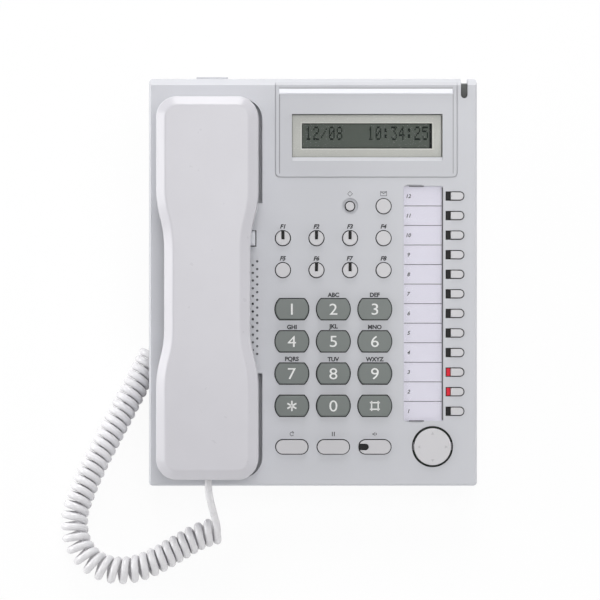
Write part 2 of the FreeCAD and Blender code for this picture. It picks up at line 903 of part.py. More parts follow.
def hook_switch():
    stem = prism(hook_face(0), -board_top + mat_gap, grip_height - seat_gap)
    top = grip_height - seat_gap
    stem = stem.makeChamfer(hook_chamfer, level_edges(stem, top))
    flange = prism(hook_face(hook_flange), -board_top + mat_gap, -board_top + mat_gap + hook_flange_thickness)
    return single(joined(stem, flange))


def navigator_key():
    """Disc whose rim stays above the face when it rocks, on a tapered hub and stem."""
    under_rim = nav_rise - nav_rim
    disc = rod(nav_u, nav_v, nav_radius, under_rim, nav_rise)
    disc = disc.makeChamfer(nav_chamfer, level_edges(disc, nav_rise))
    hub = Part.makeCone(nav_stem, nav_hub, nav_hub_depth, Vector(nav_u, nav_v, under_rim - nav_hub_depth))
    stem = rod(nav_u, nav_v, nav_stem, -gimbal_drop - gimbal_pin - 0.3, under_rim)
    reach = (gimbal_outer + gimbal_inner) / 2
    pin = Part.makeCylinder(gimbal_pin, 2 * reach, Vector(nav_u, nav_v - reach, -gimbal_drop), Vector(0, 1, 0))
    return single(joined(disc, hub, stem, pin))


def navigator_rocker():
    low = -gimbal_drop - gimbal_thickness / 2
    ring = peg(nav_u, nav_v, gimbal_outer / math.cos(math.pi / 8), low, low + gimbal_thickness, 8)
    reach = gimbal_outer + lug_gap + lug_thickness
    pin = Part.makeCylinder(gimbal_pin, 2 * reach, Vector(nav_u - reach, nav_v, -gimbal_drop), Vector(1, 0, 0))
    hole = Part.makeCylinder(gimbal_pin + pin_clearance, 4 * gimbal_outer,
                             Vector(nav_u, nav_v - 2 * gimbal_outer, -gimbal_drop), Vector(0, 1, 0))
    bore = peg(nav_u, nav_v, gimbal_inner / math.cos(math.pi / 8), low - 1, low + gimbal_thickness + 1, 8)
    return single(joined(ring, pin).cut([bore, hole]))


# Handset


def handset_face(inset):
    """Long rounded outline drawn in at the waist."""
    wide = handset_width / 2 - inset
    waist = handset_waist / 2 - inset
    rear = handset_rear - inset
    front = handset_front + inset
    r = handset_corner - inset
    k = r * (1 - math.sqrt(0.5))
    u = handset_u
    upper = handset_shift + waist_half
    lower = handset_shift - waist_half
    half = waist_run / 2
    step = (wide - waist) / 2
    ease = step * 0.28
    steps = [
        (None, (u + wide, lower - waist_run)),
        ((u + wide - ease, lower - waist_run + half / 2), (u + wide - step, lower - half)),
        ((u + waist + ease, lower - half / 2), (u + waist, lower)),
        (None, (u + waist, upper)),
        ((u + waist + ease, upper + half / 2), (u + wide - step, upper + half)),
        ((u + wide - ease, upper + waist_run - half / 2), (u + wide, upper + waist_run)),
        (None, (u + wide, rear - r)),
        ((u + wide - k, rear - k), (u + wide - r, rear)),
        (None, (u - wide + r, rear)),
        ((u - wide + k, rear - k), (u - wide, rear - r)),
        (None, (u - wide, upper + waist_run)),
        ((u - wide + ease, upper + waist_run - half / 2), (u - wide + step, upper + half)),
        ((u - waist - ease, upper + half / 2), (u - waist, upper)),
        (None, (u - waist, lower)),
        ((u - waist - ease, lower - half / 2), (u - wide + step, lower - half)),
        ((u - wide + ease, lower - waist_run + half / 2), (u - wide, lower - waist_run)),
        (None, (u - wide, front + r)),
        ((u - wide + k, front + k), (u - wide + r, front)),
        (None, (u + wide - r, front)),
        ((u + wide - k, front + k), (u + wide, front + r)),
    ]
    return face_from((u + wide, front + r), steps)


def handset_outer_shell():
    """Back of the handset: a shallow tray with a wide bevel all round its top."""
    low = handset_seam + seam_gap / 2
    rim_w = handset_top - handset_bevel_drop
    body = prism(handset_face(0), low, rim_w)
    top = handset_face(handset_bevel)
    top.translate(Vector(0, 0, handset_top))
    rim = handset_face(0)
    rim.translate(Vector(0, 0, rim_w))
    crown = Part.makeLoft([rim.OuterWire, top.OuterWire], True, True)
    body = joined(body, crown)
    hollow = prism(handset_face(handset_wall), low - 1, rim_w - 0.4)
    upper = prism(handset_face(handset_bevel + 1.0), low, handset_top - handset_wall)
    return single(body.cut([hollow, upper]))


def handset_profile(inset, top):
    """Side view of the handset's inner half: a cup at each end and an arch between."""
    rear = handset_rear - inset
    front = handset_front + inset
    bottom = -well_depth + seat_gap + inset
    arch = grip_height + inset
    mid = handset_shift
    inner = cup_inner + inset
    return [
        (rear, top), (rear, bottom + cup_nose), (rear - cup_nose, bottom), (mid + inner + cup_nose, bottom),
        (mid + inner, bottom + cup_nose), (mid + inner, 0.5), (mid + grip_half + inset, arch),
        (mid - grip_half - inset, arch), (mid - inner, 0.5), (mid - inner, bottom + cup_nose),
        (mid - inner - cup_nose, bottom), (front + cup_nose, bottom), (front, bottom + cup_nose), (front, top),
    ]


def capsule_places():
    receiver = handset_rear - handset_wall - capsule_radius - receiver_end_gap
    microphone = handset_front + handset_wall + microphone_end_gap
    return receiver, microphone


def plug_room(grow):
    """Space round the handset's plug, let out by the given amount."""
    half = plug_width / 2 + grow
    low = handset_plug_w - plug_height / 2 - grow
    high = handset_plug_w + plug_height / 2 + latch_height + grow
    return block(handset_u - half, handset_u + half, handset_front - 1, handset_front + plug_length + grow,
                 low, high)


def handset_inner_shell():
    top = handset_seam - seam_gap / 2
    low = -well_depth
    body = prism(handset_face(0), low - 5, top)
    body = body.common(across(handset_profile(0, top), -case_width, case_width))
    hollow = prism(handset_face(handset_wall), low - 5, top + 1)
    hollow = hollow.common(across(handset_profile(handset_wall, top + 1), -case_width, case_width))
    body = body.cut(hollow)
    sleeve = plug_room(plug_fit + handset_wall)
    sleeve = sleeve.common(prism(handset_face(0), low, top))
    body = joined(body, sleeve).cut(plug_room(plug_fit))
    receiver, microphone = capsule_places()
    holes = []
    through = low + handset_wall + 1.0
    holes.append(peg(handset_u, receiver, sound_hole_radius, low - 1, through))
    for k in range(6):
        angle = math.radians(60 * k)
        u = handset_u + sound_hole_ring * math.cos(angle)
        v = receiver + sound_hole_ring * math.sin(angle)
        holes.append(peg(u, v, sound_hole_radius, low - 1, through))
    for side in (-1, 0, 1):
        u = handset_u + side * microphone_hole_pitch
        holes.append(peg(u, microphone, sound_hole_radius, low - 1, through))
    return single(body.cut(holes))


def handset_capsules():
    """Receiver and microphone on the floor of their cups."""
    receiver, microphone = capsule_places()
    seat = -well_depth + seat_gap + handset_wall + trim_gap
    large = rod(handset_u, receiver, capsule_radius, seat, seat + 6.0)
    small = rod(handset_u, microphone, microphone_radius, seat, seat + 5.0)
    return Part.makeCompound([large, small])


def plug(u, end_v, w, direction):
    """Modular plug with its latch; the cord meets it at end_v and the nose points along direction."""
    nose = end_v + direction * plug_length
    v0, v1 = sorted((end_v, nose))
    body = block(u - plug_width / 2, u + plug_width / 2, v0, v1, w - plug_height / 2, w + plug_height / 2)
    tip, root = nose - direction * 1.0, end_v + direction * 2.5
    high = w + plug_height / 2
    latch = across([(tip, high - 0.5), (tip, high + 0.2), (root, high + latch_height), (root, high + 0.5),
                    (tip - direction * 2.5, high - 0.5)], u - latch_width / 2, u + latch_width / 2)
    return single(joined(body, latch))


# Screws, feet and stand


def case_screws():
    screws = []
    for u, v in screw_places():
        head = rod(u, v, screw_head, -screw_seat - screw_head_height, -screw_seat)
        shank = peg(u, v, screw_radius, -screw_seat - 0.5, -screw_seat + screw_length)
        screws.append(single(joined(head, shank)))
    return Part.makeCompound(screws)


def stand_profile():
    """Side view of the stand: flat along the case, upright at the rear, arched at the front."""
    rear_v = (stand_rear_y - case_depth * math.sin(tilt)) / math.cos(tilt)
    heel = face_point(stand_rear_y, stand_sole)
    toe = face_point(stand_rear_y - stand_toe, stand_sole)
    arch = face_point(stand_arch_y, stand_arch_z)
    points = [(stand_front_v, under), (rear_v, under), heel, toe]
    edges = []
    corners = [Vector(-stand_width / 2, v, w) for v, w in points]
    for a, b in zip(corners, corners[1:]):
        edges.append(Part.LineSegment(a, b).toShape())
    start = Vector(-stand_width / 2, stand_front_v, under - stand_wall)
    middle = Vector(-stand_width / 2, arch[0], arch[1])
    edges.append(Part.Arc(corners[-1], middle, start).toShape())
    edges.append(Part.LineSegment(start, corners[0]).toShape())
    return Part.Face(Part.Wire(edges))


def rear_foot_places():
    y = stand_rear_y - stand_toe / 2
    u = stand_width / 2 - stand_toe / 2
    return [(-u, y), (u, y)]


def tilt_stand():
    """Open shell with two arched sides, a top plate and a rear wall, in the table frame."""
    body = on_table(stand_profile().extrude(Vector(stand_width, 0, 0)))
    inner = stand_width / 2 - stand_wall
    rear_v = (stand_rear_y - stand_wall - (case_depth + stand_wall) * math.sin(tilt)) / math.cos(tilt)
    deep = face_point(stand_rear_y - stand_wall, -20.0)
    bay = [(-half_length, under - stand_wall), (rear_v, under - stand_wall), deep, (-half_length, deep[1])]
    hollow = across(bay, -inner, inner)
    body = body.cut(on_table(hollow))
    pads = []
    recesses = []
    for u, y in rear_foot_places():
        pads.append(block(u - stand_toe / 2, u + stand_toe / 2, y - stand_toe / 2, y + stand_toe / 2,
                          stand_sole, stand_sole + stand_pad))
        recesses.append(rod(u, y, rear_foot_radius + foot_fit, 0, stand_sole + foot_recess))
    return single(joined(body, *pads).cut(recesses))


def rubber_feet():
    """Front pair under the case and rear pair under the stand, all flat on the table."""
    feet = []
    table = Part.makeBox(4 * case_width, 4 * case_length, 60, Vector(-2 * case_width, -2 * case_length, -60))
    for side in (-1, 1):
        foot = rod(side * (half_width - foot_side_inset), front_foot_v, foot_radius, under - 15,
                   under + foot_recess - trim_gap)
        feet.append(single(on_table(foot).cut(table)))
    for u, y in rear_foot_places():
        feet.append(rod(u, y, rear_foot_radius, 0, stand_sole + foot_recess - trim_gap))
    return Part.makeCompound(feet)


# Curly cord, in the table frame with the part's own origin


def curl_route():
    """Hand-chosen points of the line that the curls wind round, lying on the table."""
    places = [
        (-57.0, -142.5), (-67.0, -143.0), (-80.0, -152.0), (-95.0, -161.5), (-109.0, -165.5), (-122.5, -163.5),
        (-134.0, -156.0), (-140.5, -145.5), (-142.0, -133.5), (-138.5, -121.5), (-129.0, -101.5), (-119.5, -82.5),
        (-110.5, -64.5), (-101.5, -46.0), (-94.0, -31.0),
    ]
    height = curl_radius + wire / 2 + curl_clear
    return [Vector(x, y, height) for x, y in places]


def smooth_line(points, steps=40):
    """Points along the parabolas that touch each leg of the route at its middle."""
    middles = [points[0]] + [(a + b) * 0.5 for a, b in zip(points[1:-2], points[2:-1])] + [points[-1]]
    line = []
    for start, corner, end in zip(middles, points[1:-1], middles[1:]):
        for step in range(steps):
            t = step / steps
            line.append(start * (1 - t) ** 2 + corner * (2 * t * (1 - t)) + end * t * t)
    line.append(points[-1])
    return line


class CurlLine:
    """The line under the curls: place and heading at any length along it, and how tight it bends."""

    def __init__(self, points):
        self.points = smooth_line(points)
        self.lengths = [0.0]
        for a, b in zip(self.points, self.points[1:]):
            self.lengths.append(self.lengths[-1] + a.distanceToPoint(b))
        self.total = self.lengths[-1]

    def place(self, length):
        length = min(max(length, 0.0), self.total - 1e-9)
        low = 0
        high = len(self.lengths) - 1
        while high - low > 1:
            middle = (low + high) // 2
            if self.lengths[middle] <= length:
                low = middle
            else:
                high = middle
        part = (length - self.lengths[low]) / (self.lengths[high] - self.lengths[low])
        return self.points[low] * (1 - part) + self.points[high] * part

    def heading(self, length):
        step = 2.0
        back = self.place(length - step)
        ahead = self.place(length + step)
        return (ahead - back).normalize()

    def bend(self, length):
        """Turn per millimetre, averaged over a few curls."""
        low = max(0.0, length - bend_window / 2)
        high = min(self.total, length + bend_window / 2)
        a = self.heading(low)
        b = self.heading(high)
        return a.getAngle(b) / (high - low)


class Curls:
    """Helix round the line. Curls lie closed in a straight run and open where the line bends."""

    def __init__(self, line):
        self.line = line
        self.table = [(0.0, 0.0)]
        step = 0.25
        length = 0.0
        turns = 0.0
        while length < line.total:
            pitch = (wire + curl_rest_gap) / (1 - curl_radius * line.bend(length + step / 2))
            length += step
            turns += step / pitch
            self.table.append((turns, length))
        self.turns = turns

    def length_at(self, turn):
        low = 0
        high = len(self.table) - 1
        while high - low > 1:
            middle = (low + high) // 2
            if self.table[middle][0] <= turn:
                low = middle
            else:
                high = middle
        a, b = self.table[low], self.table[high]
        return a[1] + (b[1] - a[1]) * (turn - a[0]) / (b[0] - a[0])

    def place(self, turn):
        length = self.length_at(turn)
        ahead = self.line.heading(length)
        left = Vector(-ahead.y, ahead.x, 0)
        angle = 2 * math.pi * turn
        up = Vector(0, 0, 1)
        rise = up * (curl_radius * math.cos(angle))
        return self.line.place(length) + rise + left * (curl_radius * math.sin(angle))

    def heading(self, turn):
        step = 0.01
        return (self.place(turn + step) - self.place(turn - step)).normalize()


def biarc(start, start_way, end, end_way):
    """Two arcs that leave one point and reach another along the given directions."""
    gap = end - start
    both = start_way + end_way
    a = 2 * (start_way.dot(end_way) - 1)
    b = -2 * gap.dot(both)
    c = gap.dot(gap)
    reach = (-b - math.sqrt(b * b - 4 * a * c)) / (2 * a)
    first = start + start_way * reach
    second = end - end_way * reach
    joint = (first + second) * 0.5
    edges = []
    radii = []
    for near, apex, far in ((start, first, joint), (joint, second, end)):
        middle = (near + far) * 0.5
        half = near.distanceToPoint(far) / 2
        up = apex - middle
        half_turn = math.atan2(up.Length, half)
        top = middle + up * (half * math.tan(half_turn / 2) / up.Length)
        edges.append(Part.Arc(near, top, far).toShape())
        radii.append(half / math.sin(half_turn))
    return edges, radii


def cord_path(handset_end, handset_way, base_end, base_way):
    """Straight tail, one sweep down to the table, the curls, and one sweep up to the base socket."""
    curls = Curls(CurlLine(curl_route()))
    start_turn = first_turn
    end_turn = math.floor(curls.turns - 1) + last_turn
    tail = handset_end + handset_way * tail_straight
    root = base_end - base_way * tail_straight
    edges = [Part.LineSegment(handset_end, tail).toShape()]
    arcs, tail_radii = biarc(tail, handset_way, curls.place(start_turn), curls.heading(start_turn))
    edges += arcs
    turn = start_turn
    radii = []
    while turn < end_turn - 1e-9:
        after = min(turn + 0.5, end_turn)
        arcs, more = biarc(curls.place(turn), curls.heading(turn), curls.place(after), curls.heading(after))
        edges += arcs
        radii += more
        turn = after
    arcs, root_radii = biarc(curls.place(end_turn), curls.heading(end_turn), root, base_way)
    edges += arcs
    edges.append(Part.LineSegment(root, base_end).toShape())
    count = round(end_turn - start_turn, 2)
    print("cord curls", count, "radii", round(min(radii), 2), "to", round(max(radii), 2))
    print("cord tail radii", [round(r, 1) for r in tail_radii + root_radii])
    return Part.Wire(edges)


def least_self_gap(path):
    """Least free space between stretches of the cord that aren't neighbours along it."""
    step = 0.6
    points = path.discretize(Distance=step)
    skip = int(3.0 * wire / step)
    cell = 6.0
    grid = {}
    least = 1e9
    for index, point in enumerate(points):
        home = (int(point.x // cell), int(point.y // cell), int(point.z // cell))
        for dx in (-1, 0, 1):
            for dy in (-1, 0, 1):
                for dz in (-1, 0, 1):
                    for other in grid.get((home[0] + dx, home[1] + dy, home[2] + dz), ()):
                        if index - other > skip:
                            least = min(least, point.distanceToPoint(points[other]))
        grid.setdefault(home, []).append(index)
    return least - wire


def coiled_cord(handset_end, handset_way, base_end, base_way):
    path = cord_path(handset_end, handset_way, base_end, base_way)
    side = Vector(1, 0, 0)
    up = side.cross(handset_way).normalize()
    corners = []
    for k in range(wire_sides):
        angle = 2 * math.pi * k / wire_sides
        corners.append(handset_end + side * (wire / 2 * math.cos(angle)) + up * (wire / 2 * math.sin(angle)))
    section = Part.Wire(Part.makePolygon(corners + corners[:1]))
    tube = path.makePipeShell([section], True, False)
    area = wire_sides / 2 * (wire / 2) ** 2 * math.sin(2 * math.pi / wire_sides)
    print("cord length", round(path.Length, 1), "least gap to itself", round(least_self_gap(path), 2))
    print("cord volume over section times length", round(tube.Volume / (area * path.Length), 4))
    return tube


# Assembly


def build():
    keys = key_list()
    pieces = {
        "upper_case": upper_case(keys),
        "lower_case": lower_case(),
        "display_bezel": display_bezel(),
        "display_window": display_window(),
        "lcd_module": lcd_module(),
        "lamp_lenses": lamp_lenses(keys),
        "label_card": label_card(),
        "label_cover": label_cover(),
        "main_board": main_board(),
        "key_mat": key_mat(keys),
        "loudspeaker": loudspeaker(),
        "hook_switch": hook_switch(),
        "navigator_key": navigator_key(),
        "navigator_rocker": navigator_rocker(),
        "handset_outer_shell": handset_outer_shell(),
        "handset_inner_shell": handset_inner_shell(),
        "handset_capsules": handset_capsules(),
        "case_screws": case_screws(),
    }
    for key in keys:
        pieces[key.name] = key_solid(key)
    placed = {name: on_table(shape) for name, shape in pieces.items()}
    placed["tilt_stand"] = tilt_stand()
    placed["rubber_feet"] = rubber_feet()

    box = FreeCAD.BoundBox()
    for shape in placed.values():
        box.add(shape.optimalBoundingBox(False))
    shift = Vector(-box.Center.x, -box.Center.y, 0)
    for shape in placed.values():
        shape.translate(shift)
    print("box", round(box.XLength, 2), round(box.YLength, 2), round(box.ZMin, 3), round(box.ZMax, 2))
    print("shift", round(shift.x, 3), round(shift.y, 3))

    handset_end_v = handset_front
    base_end_v = arm_front_v + pocket_wall + trim_gap + socket_depth - plug_length
    for name, u, v, w, way in (("handset_plug", handset_u, handset_end_v, handset_plug_w, 1),
                               ("base_plug", base_socket_u, base_end_v, base_plug_w, 1)):
        solid = on_table(plug(u, v, w, way))
        solid.translate(shift)
        placed[name] = solid
    toward_front = Vector(0, -math.cos(tilt), -math.sin(tilt))
    handset_end = table_point((handset_u, handset_end_v, handset_plug_w)) + shift
    base_end = table_point((base_socket_u, base_end_v, base_plug_w)) + shift
    placed["coiled_cord"] = coiled_cord(handset_end, toward_front, base_end, toward_front * -1)
    print("cord ends", [round(q, 2) for q in handset_end], [round(q, 2) for q in base_end])
    return placed


def main():
    os.makedirs("parts", exist_ok=True)
    for name, shape in build().items():
        shape.exportStep("parts/" + name + ".step")


main()
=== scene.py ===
"""Corded desk telephone: its finishes, its curly cord and its markings, laid out as an add-on."""

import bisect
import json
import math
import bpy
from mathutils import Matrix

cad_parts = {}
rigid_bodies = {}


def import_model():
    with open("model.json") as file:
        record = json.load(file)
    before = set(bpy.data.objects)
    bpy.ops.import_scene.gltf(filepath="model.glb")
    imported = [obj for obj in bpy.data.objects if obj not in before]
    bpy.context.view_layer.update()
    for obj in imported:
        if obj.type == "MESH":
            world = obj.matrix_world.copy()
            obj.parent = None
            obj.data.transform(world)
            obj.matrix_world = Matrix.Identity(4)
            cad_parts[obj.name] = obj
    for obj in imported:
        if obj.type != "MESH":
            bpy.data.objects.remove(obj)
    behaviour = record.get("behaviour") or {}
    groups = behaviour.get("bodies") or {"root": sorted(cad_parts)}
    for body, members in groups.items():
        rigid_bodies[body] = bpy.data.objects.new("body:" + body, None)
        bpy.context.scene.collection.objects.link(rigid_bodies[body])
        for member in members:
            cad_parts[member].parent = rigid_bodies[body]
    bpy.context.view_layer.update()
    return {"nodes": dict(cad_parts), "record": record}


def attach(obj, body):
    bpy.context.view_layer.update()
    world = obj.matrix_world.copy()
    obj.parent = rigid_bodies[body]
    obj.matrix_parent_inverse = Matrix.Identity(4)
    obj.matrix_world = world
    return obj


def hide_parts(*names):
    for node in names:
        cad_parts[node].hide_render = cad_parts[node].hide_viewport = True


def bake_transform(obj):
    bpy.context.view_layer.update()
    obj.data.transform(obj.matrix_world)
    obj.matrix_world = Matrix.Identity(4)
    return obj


bl_info = {
    "name": "Corded Desk Telephone",
    "version": (1, 0, 0),
    "blender": (4, 5, 0),
    "location": "3D View > Sidebar > Telephone",
    "description": "Finishes, curly cord, markings and studio for a corded desk telephone",
    "category": "Object",
}

import bpy
from bpy.props import FloatProperty, FloatVectorProperty, IntProperty, PointerProperty
from bpy.types import Operator, Panel, PropertyGroup
from mathutils import Matrix, Vector

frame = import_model()

mm = 0.001

# Places on the sloping face: u to the right, v to the rear, w out of it, in metres
keyhole_v = -23.5 * mm
keyhole_w = -24.75 * mm
handset_u = -60.3 * mm
handset_front = -112.6 * mm
handset_plug_w = 6.0 * mm
base_socket_u = -79.6 * mm
base_plug_v = 13.7 * mm
base_plug_w = -19.0 * mm
dial_u = 11.8 * mm
dial_v = -15.7 * mm
dial_pitch_u = 24.0 * mm
dial_pitch_v = 18.65 * mm
dial_rise = 2.0 * mm
function_u = -17.4 * mm
function_v = 43.9 * mm
function_pitch_u = 19.43 * mm
function_pitch_v = 18.5 * mm
oblong_v = -95.4 * mm
label_left = 52.5 * mm
label_right = 75.2 * mm
label_front = -80.4 * mm
label_rear = 55.5 * mm
label_tab = (55.6 * mm, 64.3 * mm)
card_top = -1.2 * mm
line_count = 12
line_top_v = 49.8 * mm
line_pitch = 11.33 * mm
nav_u = 69.2 * mm
nav_v = -95.3 * mm
nav_top = 1.8 * mm
bezel_left = -21.8 * mm
bezel_right = 83.6 * mm
bezel_front = 60.6 * mm
bezel_rise = 0.4 * mm
rail_left = bezel_left + 2.1 * mm
rail_right = bezel_right - 2.6 * mm
rail_front = 108.7 * mm
rail_rear = 112.1 * mm
step_front = 111.9 * mm
step_rear = 113.0 * mm
grille_u = -32.3 * mm
grille_v = 12.0 * mm
grille_pitch_u = 2.55 * mm
grille_pitch_v = 4.47 * mm
grille_open_radius = 16.5 * mm
speaker_u = -49.9 * mm
speaker_v = -16.9 * mm
window_u = 31.4 * mm
window_v = 83.7 * mm
lcd_v = 84.85 * mm
lens_under = -2.9 * mm
surround_top = lens_under - 0.2 * mm
board_top = -8.2 * mm
print_lift = 0.02 * mm
print_thickness = 0.03 * mm
film_thickness = 0.02 * mm


def face_place():
    """The matrix that lays something drawn flat in (u, v, w) on the telephone's face."""
    holes = next(m for m in frame["record"]["mounts"] if m["name"] == "wall_keyholes")
    turn = Matrix.Rotation(math.asin(holes["axis"][1]), 4, "X")
    anchor = turn @ Vector((0, keyhole_v, keyhole_w))
    return Matrix.Translation(Vector(holes["pos_m"]) - anchor) @ turn


FACE = face_place()


def on_face(u, v, w=0.0):
    return FACE @ Vector((u, v, w))


# Settings that a user would change


def colour(name, description, values):
    return FloatVectorProperty(name=name, description=description, subtype="COLOR", size=3,
                               min=0.0, max=1.0, default=values)


def length(name, description, value, lowest=0.0):
    return FloatProperty(name=name, description=description, default=value, min=lowest, unit="LENGTH",
                         subtype="DISTANCE", precision=5)


def power(name, description, value):
    return FloatProperty(name=name, description=description, default=value, min=0.0, unit="POWER")


def amount(name, description, value):
    return FloatProperty(name=name, description=description, default=value, min=0.0)


class TelephoneColours(PropertyGroup):
    case: colour("Case", "Moulded case, stand and bezel", (0.565, 0.572, 0.605))
    handset: colour("Handset", "Both shells of the handset", (0.574, 0.566, 0.602))
    light_key: colour("Light keys", "Round, oblong and line keys", (0.545, 0.538, 0.556))
    dial_key: colour("Dial keys", "Twelve keys of the number pad", (0.130, 0.148, 0.140))
    numeral: colour("Numerals", "Numbers on the dial keys", (0.780, 0.780, 0.770))
    print_ink: colour("Print", "Marks printed on the case", (0.030, 0.030, 0.034))
    # painted shade: colour of the dark rings laid round the keys for the shade in their wells' gaps
    gap: colour("Key gap shade", "Dark edge of the well round each key", (0.020, 0.020, 0.020))
    card: colour("Card", "Paper behind the label cover", (0.760, 0.740, 0.840))
    display: colour("Display", "Reflecting back of the display", (0.100, 0.116, 0.100))
    surround: colour("Surround", "Frame that shows behind the window", (0.600, 0.605, 0.565))
    lamp_off: colour("Dark lamp", "Lamps that aren't lit", (0.010, 0.010, 0.010))
    lamp_lit: colour("Lit lamp", "Lamps of the two busy lines", (0.580, 0.018, 0.035))
    cord: colour("Cord", "Sleeve of the curly cord", (0.745, 0.738, 0.755))


class TelephoneCord(PropertyGroup):
    wire: length("Wire", "Thickness of the sleeve", 4.2 * mm)
    curl_radius: length("Curl radius", "From the coil's axis to the middle of the wire", 5.9 * mm)
    rest_gap: length("Gap", "Free space between curls where the coil is straight", 0.72 * mm)
    swell: FloatProperty(name="Swell", description="How much thicker the sleeve is in the curls",
                         default=1.07, min=1.0, max=1.1)
    lift: length("Lift", "Free height under the coil", 0.05 * mm)
    window: length("Bend window", "Run over which the coil's bend is averaged", 14 * mm)
    points_per_turn: IntProperty(name="Points", description="Control points in each curl", default=16,
                                 min=12, max=48)


class TelephoneStage(PropertyGroup):
    distance: length("Distance", "From the camera to the face", 1.2)
    frame_width: length("Frame width", "Width of the picture at the face", 0.3474)
    centre_u: length("Centre across", "Point of the face in the picture's middle", -7.5 * mm, -1.0)
    centre_v: length("Centre along", "Point of the face in the picture's middle", -10.4 * mm, -1.0)
    ambient: amount("Ambient", "Strength of the even light", 0.20)
    horizon: amount("Horizon", "How much brighter the light is near the floor", 10.5)
    key_power: power("Key lamp", "Power of the wide lamp over the telephone", 11.0)
    rear_power: power("Rear lamp", "Power of the low lamp behind the telephone", 31.0)
    side_power: power("Side lamp", "Power of the low lamp on the left", 19.0)


# Shader expressions


def arithmetic(operation, reflected=False):
    """A method that adds the Math node for an operator, also where the socket stands on its right."""
    def method(self, other):
        first, second = (other, self) if reflected else (self, other)
        return self.step(operation, first, second)
    return method


class Socket:
    """One output of a node. Arithmetic on it adds Math nodes to its material."""

    __add__ = arithmetic("ADD")
    __radd__ = arithmetic("ADD", reflected=True)
    __sub__ = arithmetic("SUBTRACT")
    __rsub__ = arithmetic("SUBTRACT", reflected=True)
    __mul__ = arithmetic("MULTIPLY")
    __rmul__ = arithmetic("MULTIPLY", reflected=True)
    __gt__ = arithmetic("GREATER_THAN")
    larger = arithmetic("MAXIMUM")

    def __init__(self, finish, output):
        self.finish = finish
        self.output = output

    def step(self, operation, first, second=0.0, clamp=False):
        settings = {"operation": operation, "use_clamp": clamp}
        return self.finish.node("ShaderNodeMath", settings, {0: first, 1: second})

    def limited(self):
        return self.step("ADD", self, 0.0, clamp=True)


class Finish:
    """A material, or the world, under construction."""

    def __init__(self, holder):
        self.holder = bpy.data.materials.new(holder) if isinstance(holder, str) else holder
        self.holder.use_nodes = True
        self.tree = self.holder.node_tree
        self.tree.nodes.clear()

    def node(self, kind, settings=None, inputs=None, output=0):
        """Adds a node: its settings first, then the values or links of its sockets."""
        node = self.tree.nodes.new(kind)
        for key, value in (settings or {}).items():
            setattr(node, key, value)
        for key, value in (inputs or {}).items():
            socket = node.inputs[key]
            if isinstance(value, Socket):
                self.tree.links.new(value.output, socket)
            elif socket.type == "RGBA":
                socket.default_value = (*value, 1.0)
            else:
                socket.default_value = value
        return Socket(self, node.outputs[output])

    def place(self):
        return self.node("ShaderNodeTexCoord", output="Object")

    def along(self, axis):
        """Distance from the face's origin along its own axis 1 or 2, which have no part across."""
        row = FACE.inverted().row[axis]
        split = [self.node("ShaderNodeSeparateXYZ", {}, {0: self.place()}, name) for name in "YZ"]
        return split[0] * row[1] + split[1] * row[2] + row[3]

    def ray(self, name):
        return self.node("ShaderNodeLightPath", output=name)

    def noise(self, grain, detail=2.0, roughness=0.5):
        """Even noise whose lumps are about the given size, in metres."""
        inputs = {"Vector": self.place(), "Scale": 1.0 / grain, "Detail": detail, "Roughness": roughness}
        return self.node("ShaderNodeTexNoise", {}, inputs)

    def blend(self, factor, first, second):
        return self.node("ShaderNodeMix", {"data_type": "RGBA"}, {0: factor, 6: first, 7: second}, 2)

    def tint(self, factor, base, low, high):
        """The base colour, from its darker to its lighter shade."""
        return self.blend(factor, shade(base, low), shade(base, high))

    def bump(self, height, strength, distance=0.02 * mm):
        inputs = {"Height": height, "Strength": strength, "Distance": distance}
        return self.node("ShaderNodeBump", {}, inputs)

    def surface(self, **sockets):
        names = {"colour": "Base Color", "roughness": "Roughness", "metallic": "Metallic",
                 "normal": "Normal", "alpha": "Alpha", "coat": "Coat Weight",
                 "coat_roughness": "Coat Roughness", "ior": "IOR", "glow": "Emission Color",
                 "glow_strength": "Emission Strength"}
        inputs = {names[key]: value for key, value in sockets.items()}
        return self.close("Material", self.node("ShaderNodeBsdfPrincipled", {}, inputs))

    def close(self, kind, shader):
        out = self.tree.nodes.new("ShaderNodeOutput" + kind)
        self.tree.links.new(shader.output, out.inputs["Surface"])
        return self.holder


def shade(values, factor):
    return tuple(min(1.0, v * factor) for v in values)


def moulded_plastic(name, base, roughness=0.42):
    """Injection-moulded plastic: fine spark-eroded grain, faint flow marks and a little handling wear."""
    finish = Finish(name)
    flow = finish.noise(38 * mm, 3.0)
    speck = finish.noise(1.1 * mm)
    tone = finish.tint((flow * 0.7 + speck * 0.3).limited(), base, 0.965, 1.03)
    rub = finish.noise(14 * mm, 4.0, 0.6)
    gloss = (rub * 0.14 + (roughness - 0.07)).limited()
    normal = finish.bump(finish.noise(0.35 * mm, 1.0), 0.25)
    return finish.surface(colour=tone, roughness=gloss, normal=normal)


def coated_plastic(name, cloud, shades, wear, gloss, ripple, depth, coat):
    """Polished plastic: clouded tone, uneven gloss and a ripple. The lumps are in millimetres."""
    finish = Finish(name)
    tone = finish.blend(finish.noise(cloud * mm), *shades)
    uneven = (finish.noise(wear * mm, 3.0) * gloss[0] + gloss[1]).limited()
    normal = finish.bump(finish.noise(ripple * mm, 1.0), depth)
    return finish.surface(colour=tone, roughness=uneven, normal=normal, coat=coat, coat_roughness=0.12)


def smooth_plastic(name, base, roughness=0.22, coat=0.3):
    """Polished plastic with a shallow orange-peel ripple."""
    shades = (shade(base, 0.97), shade(base, 1.025))
    return coated_plastic(name, 22, shades, 6, (0.12, roughness - 0.06), 2.4, 0.12, coat)


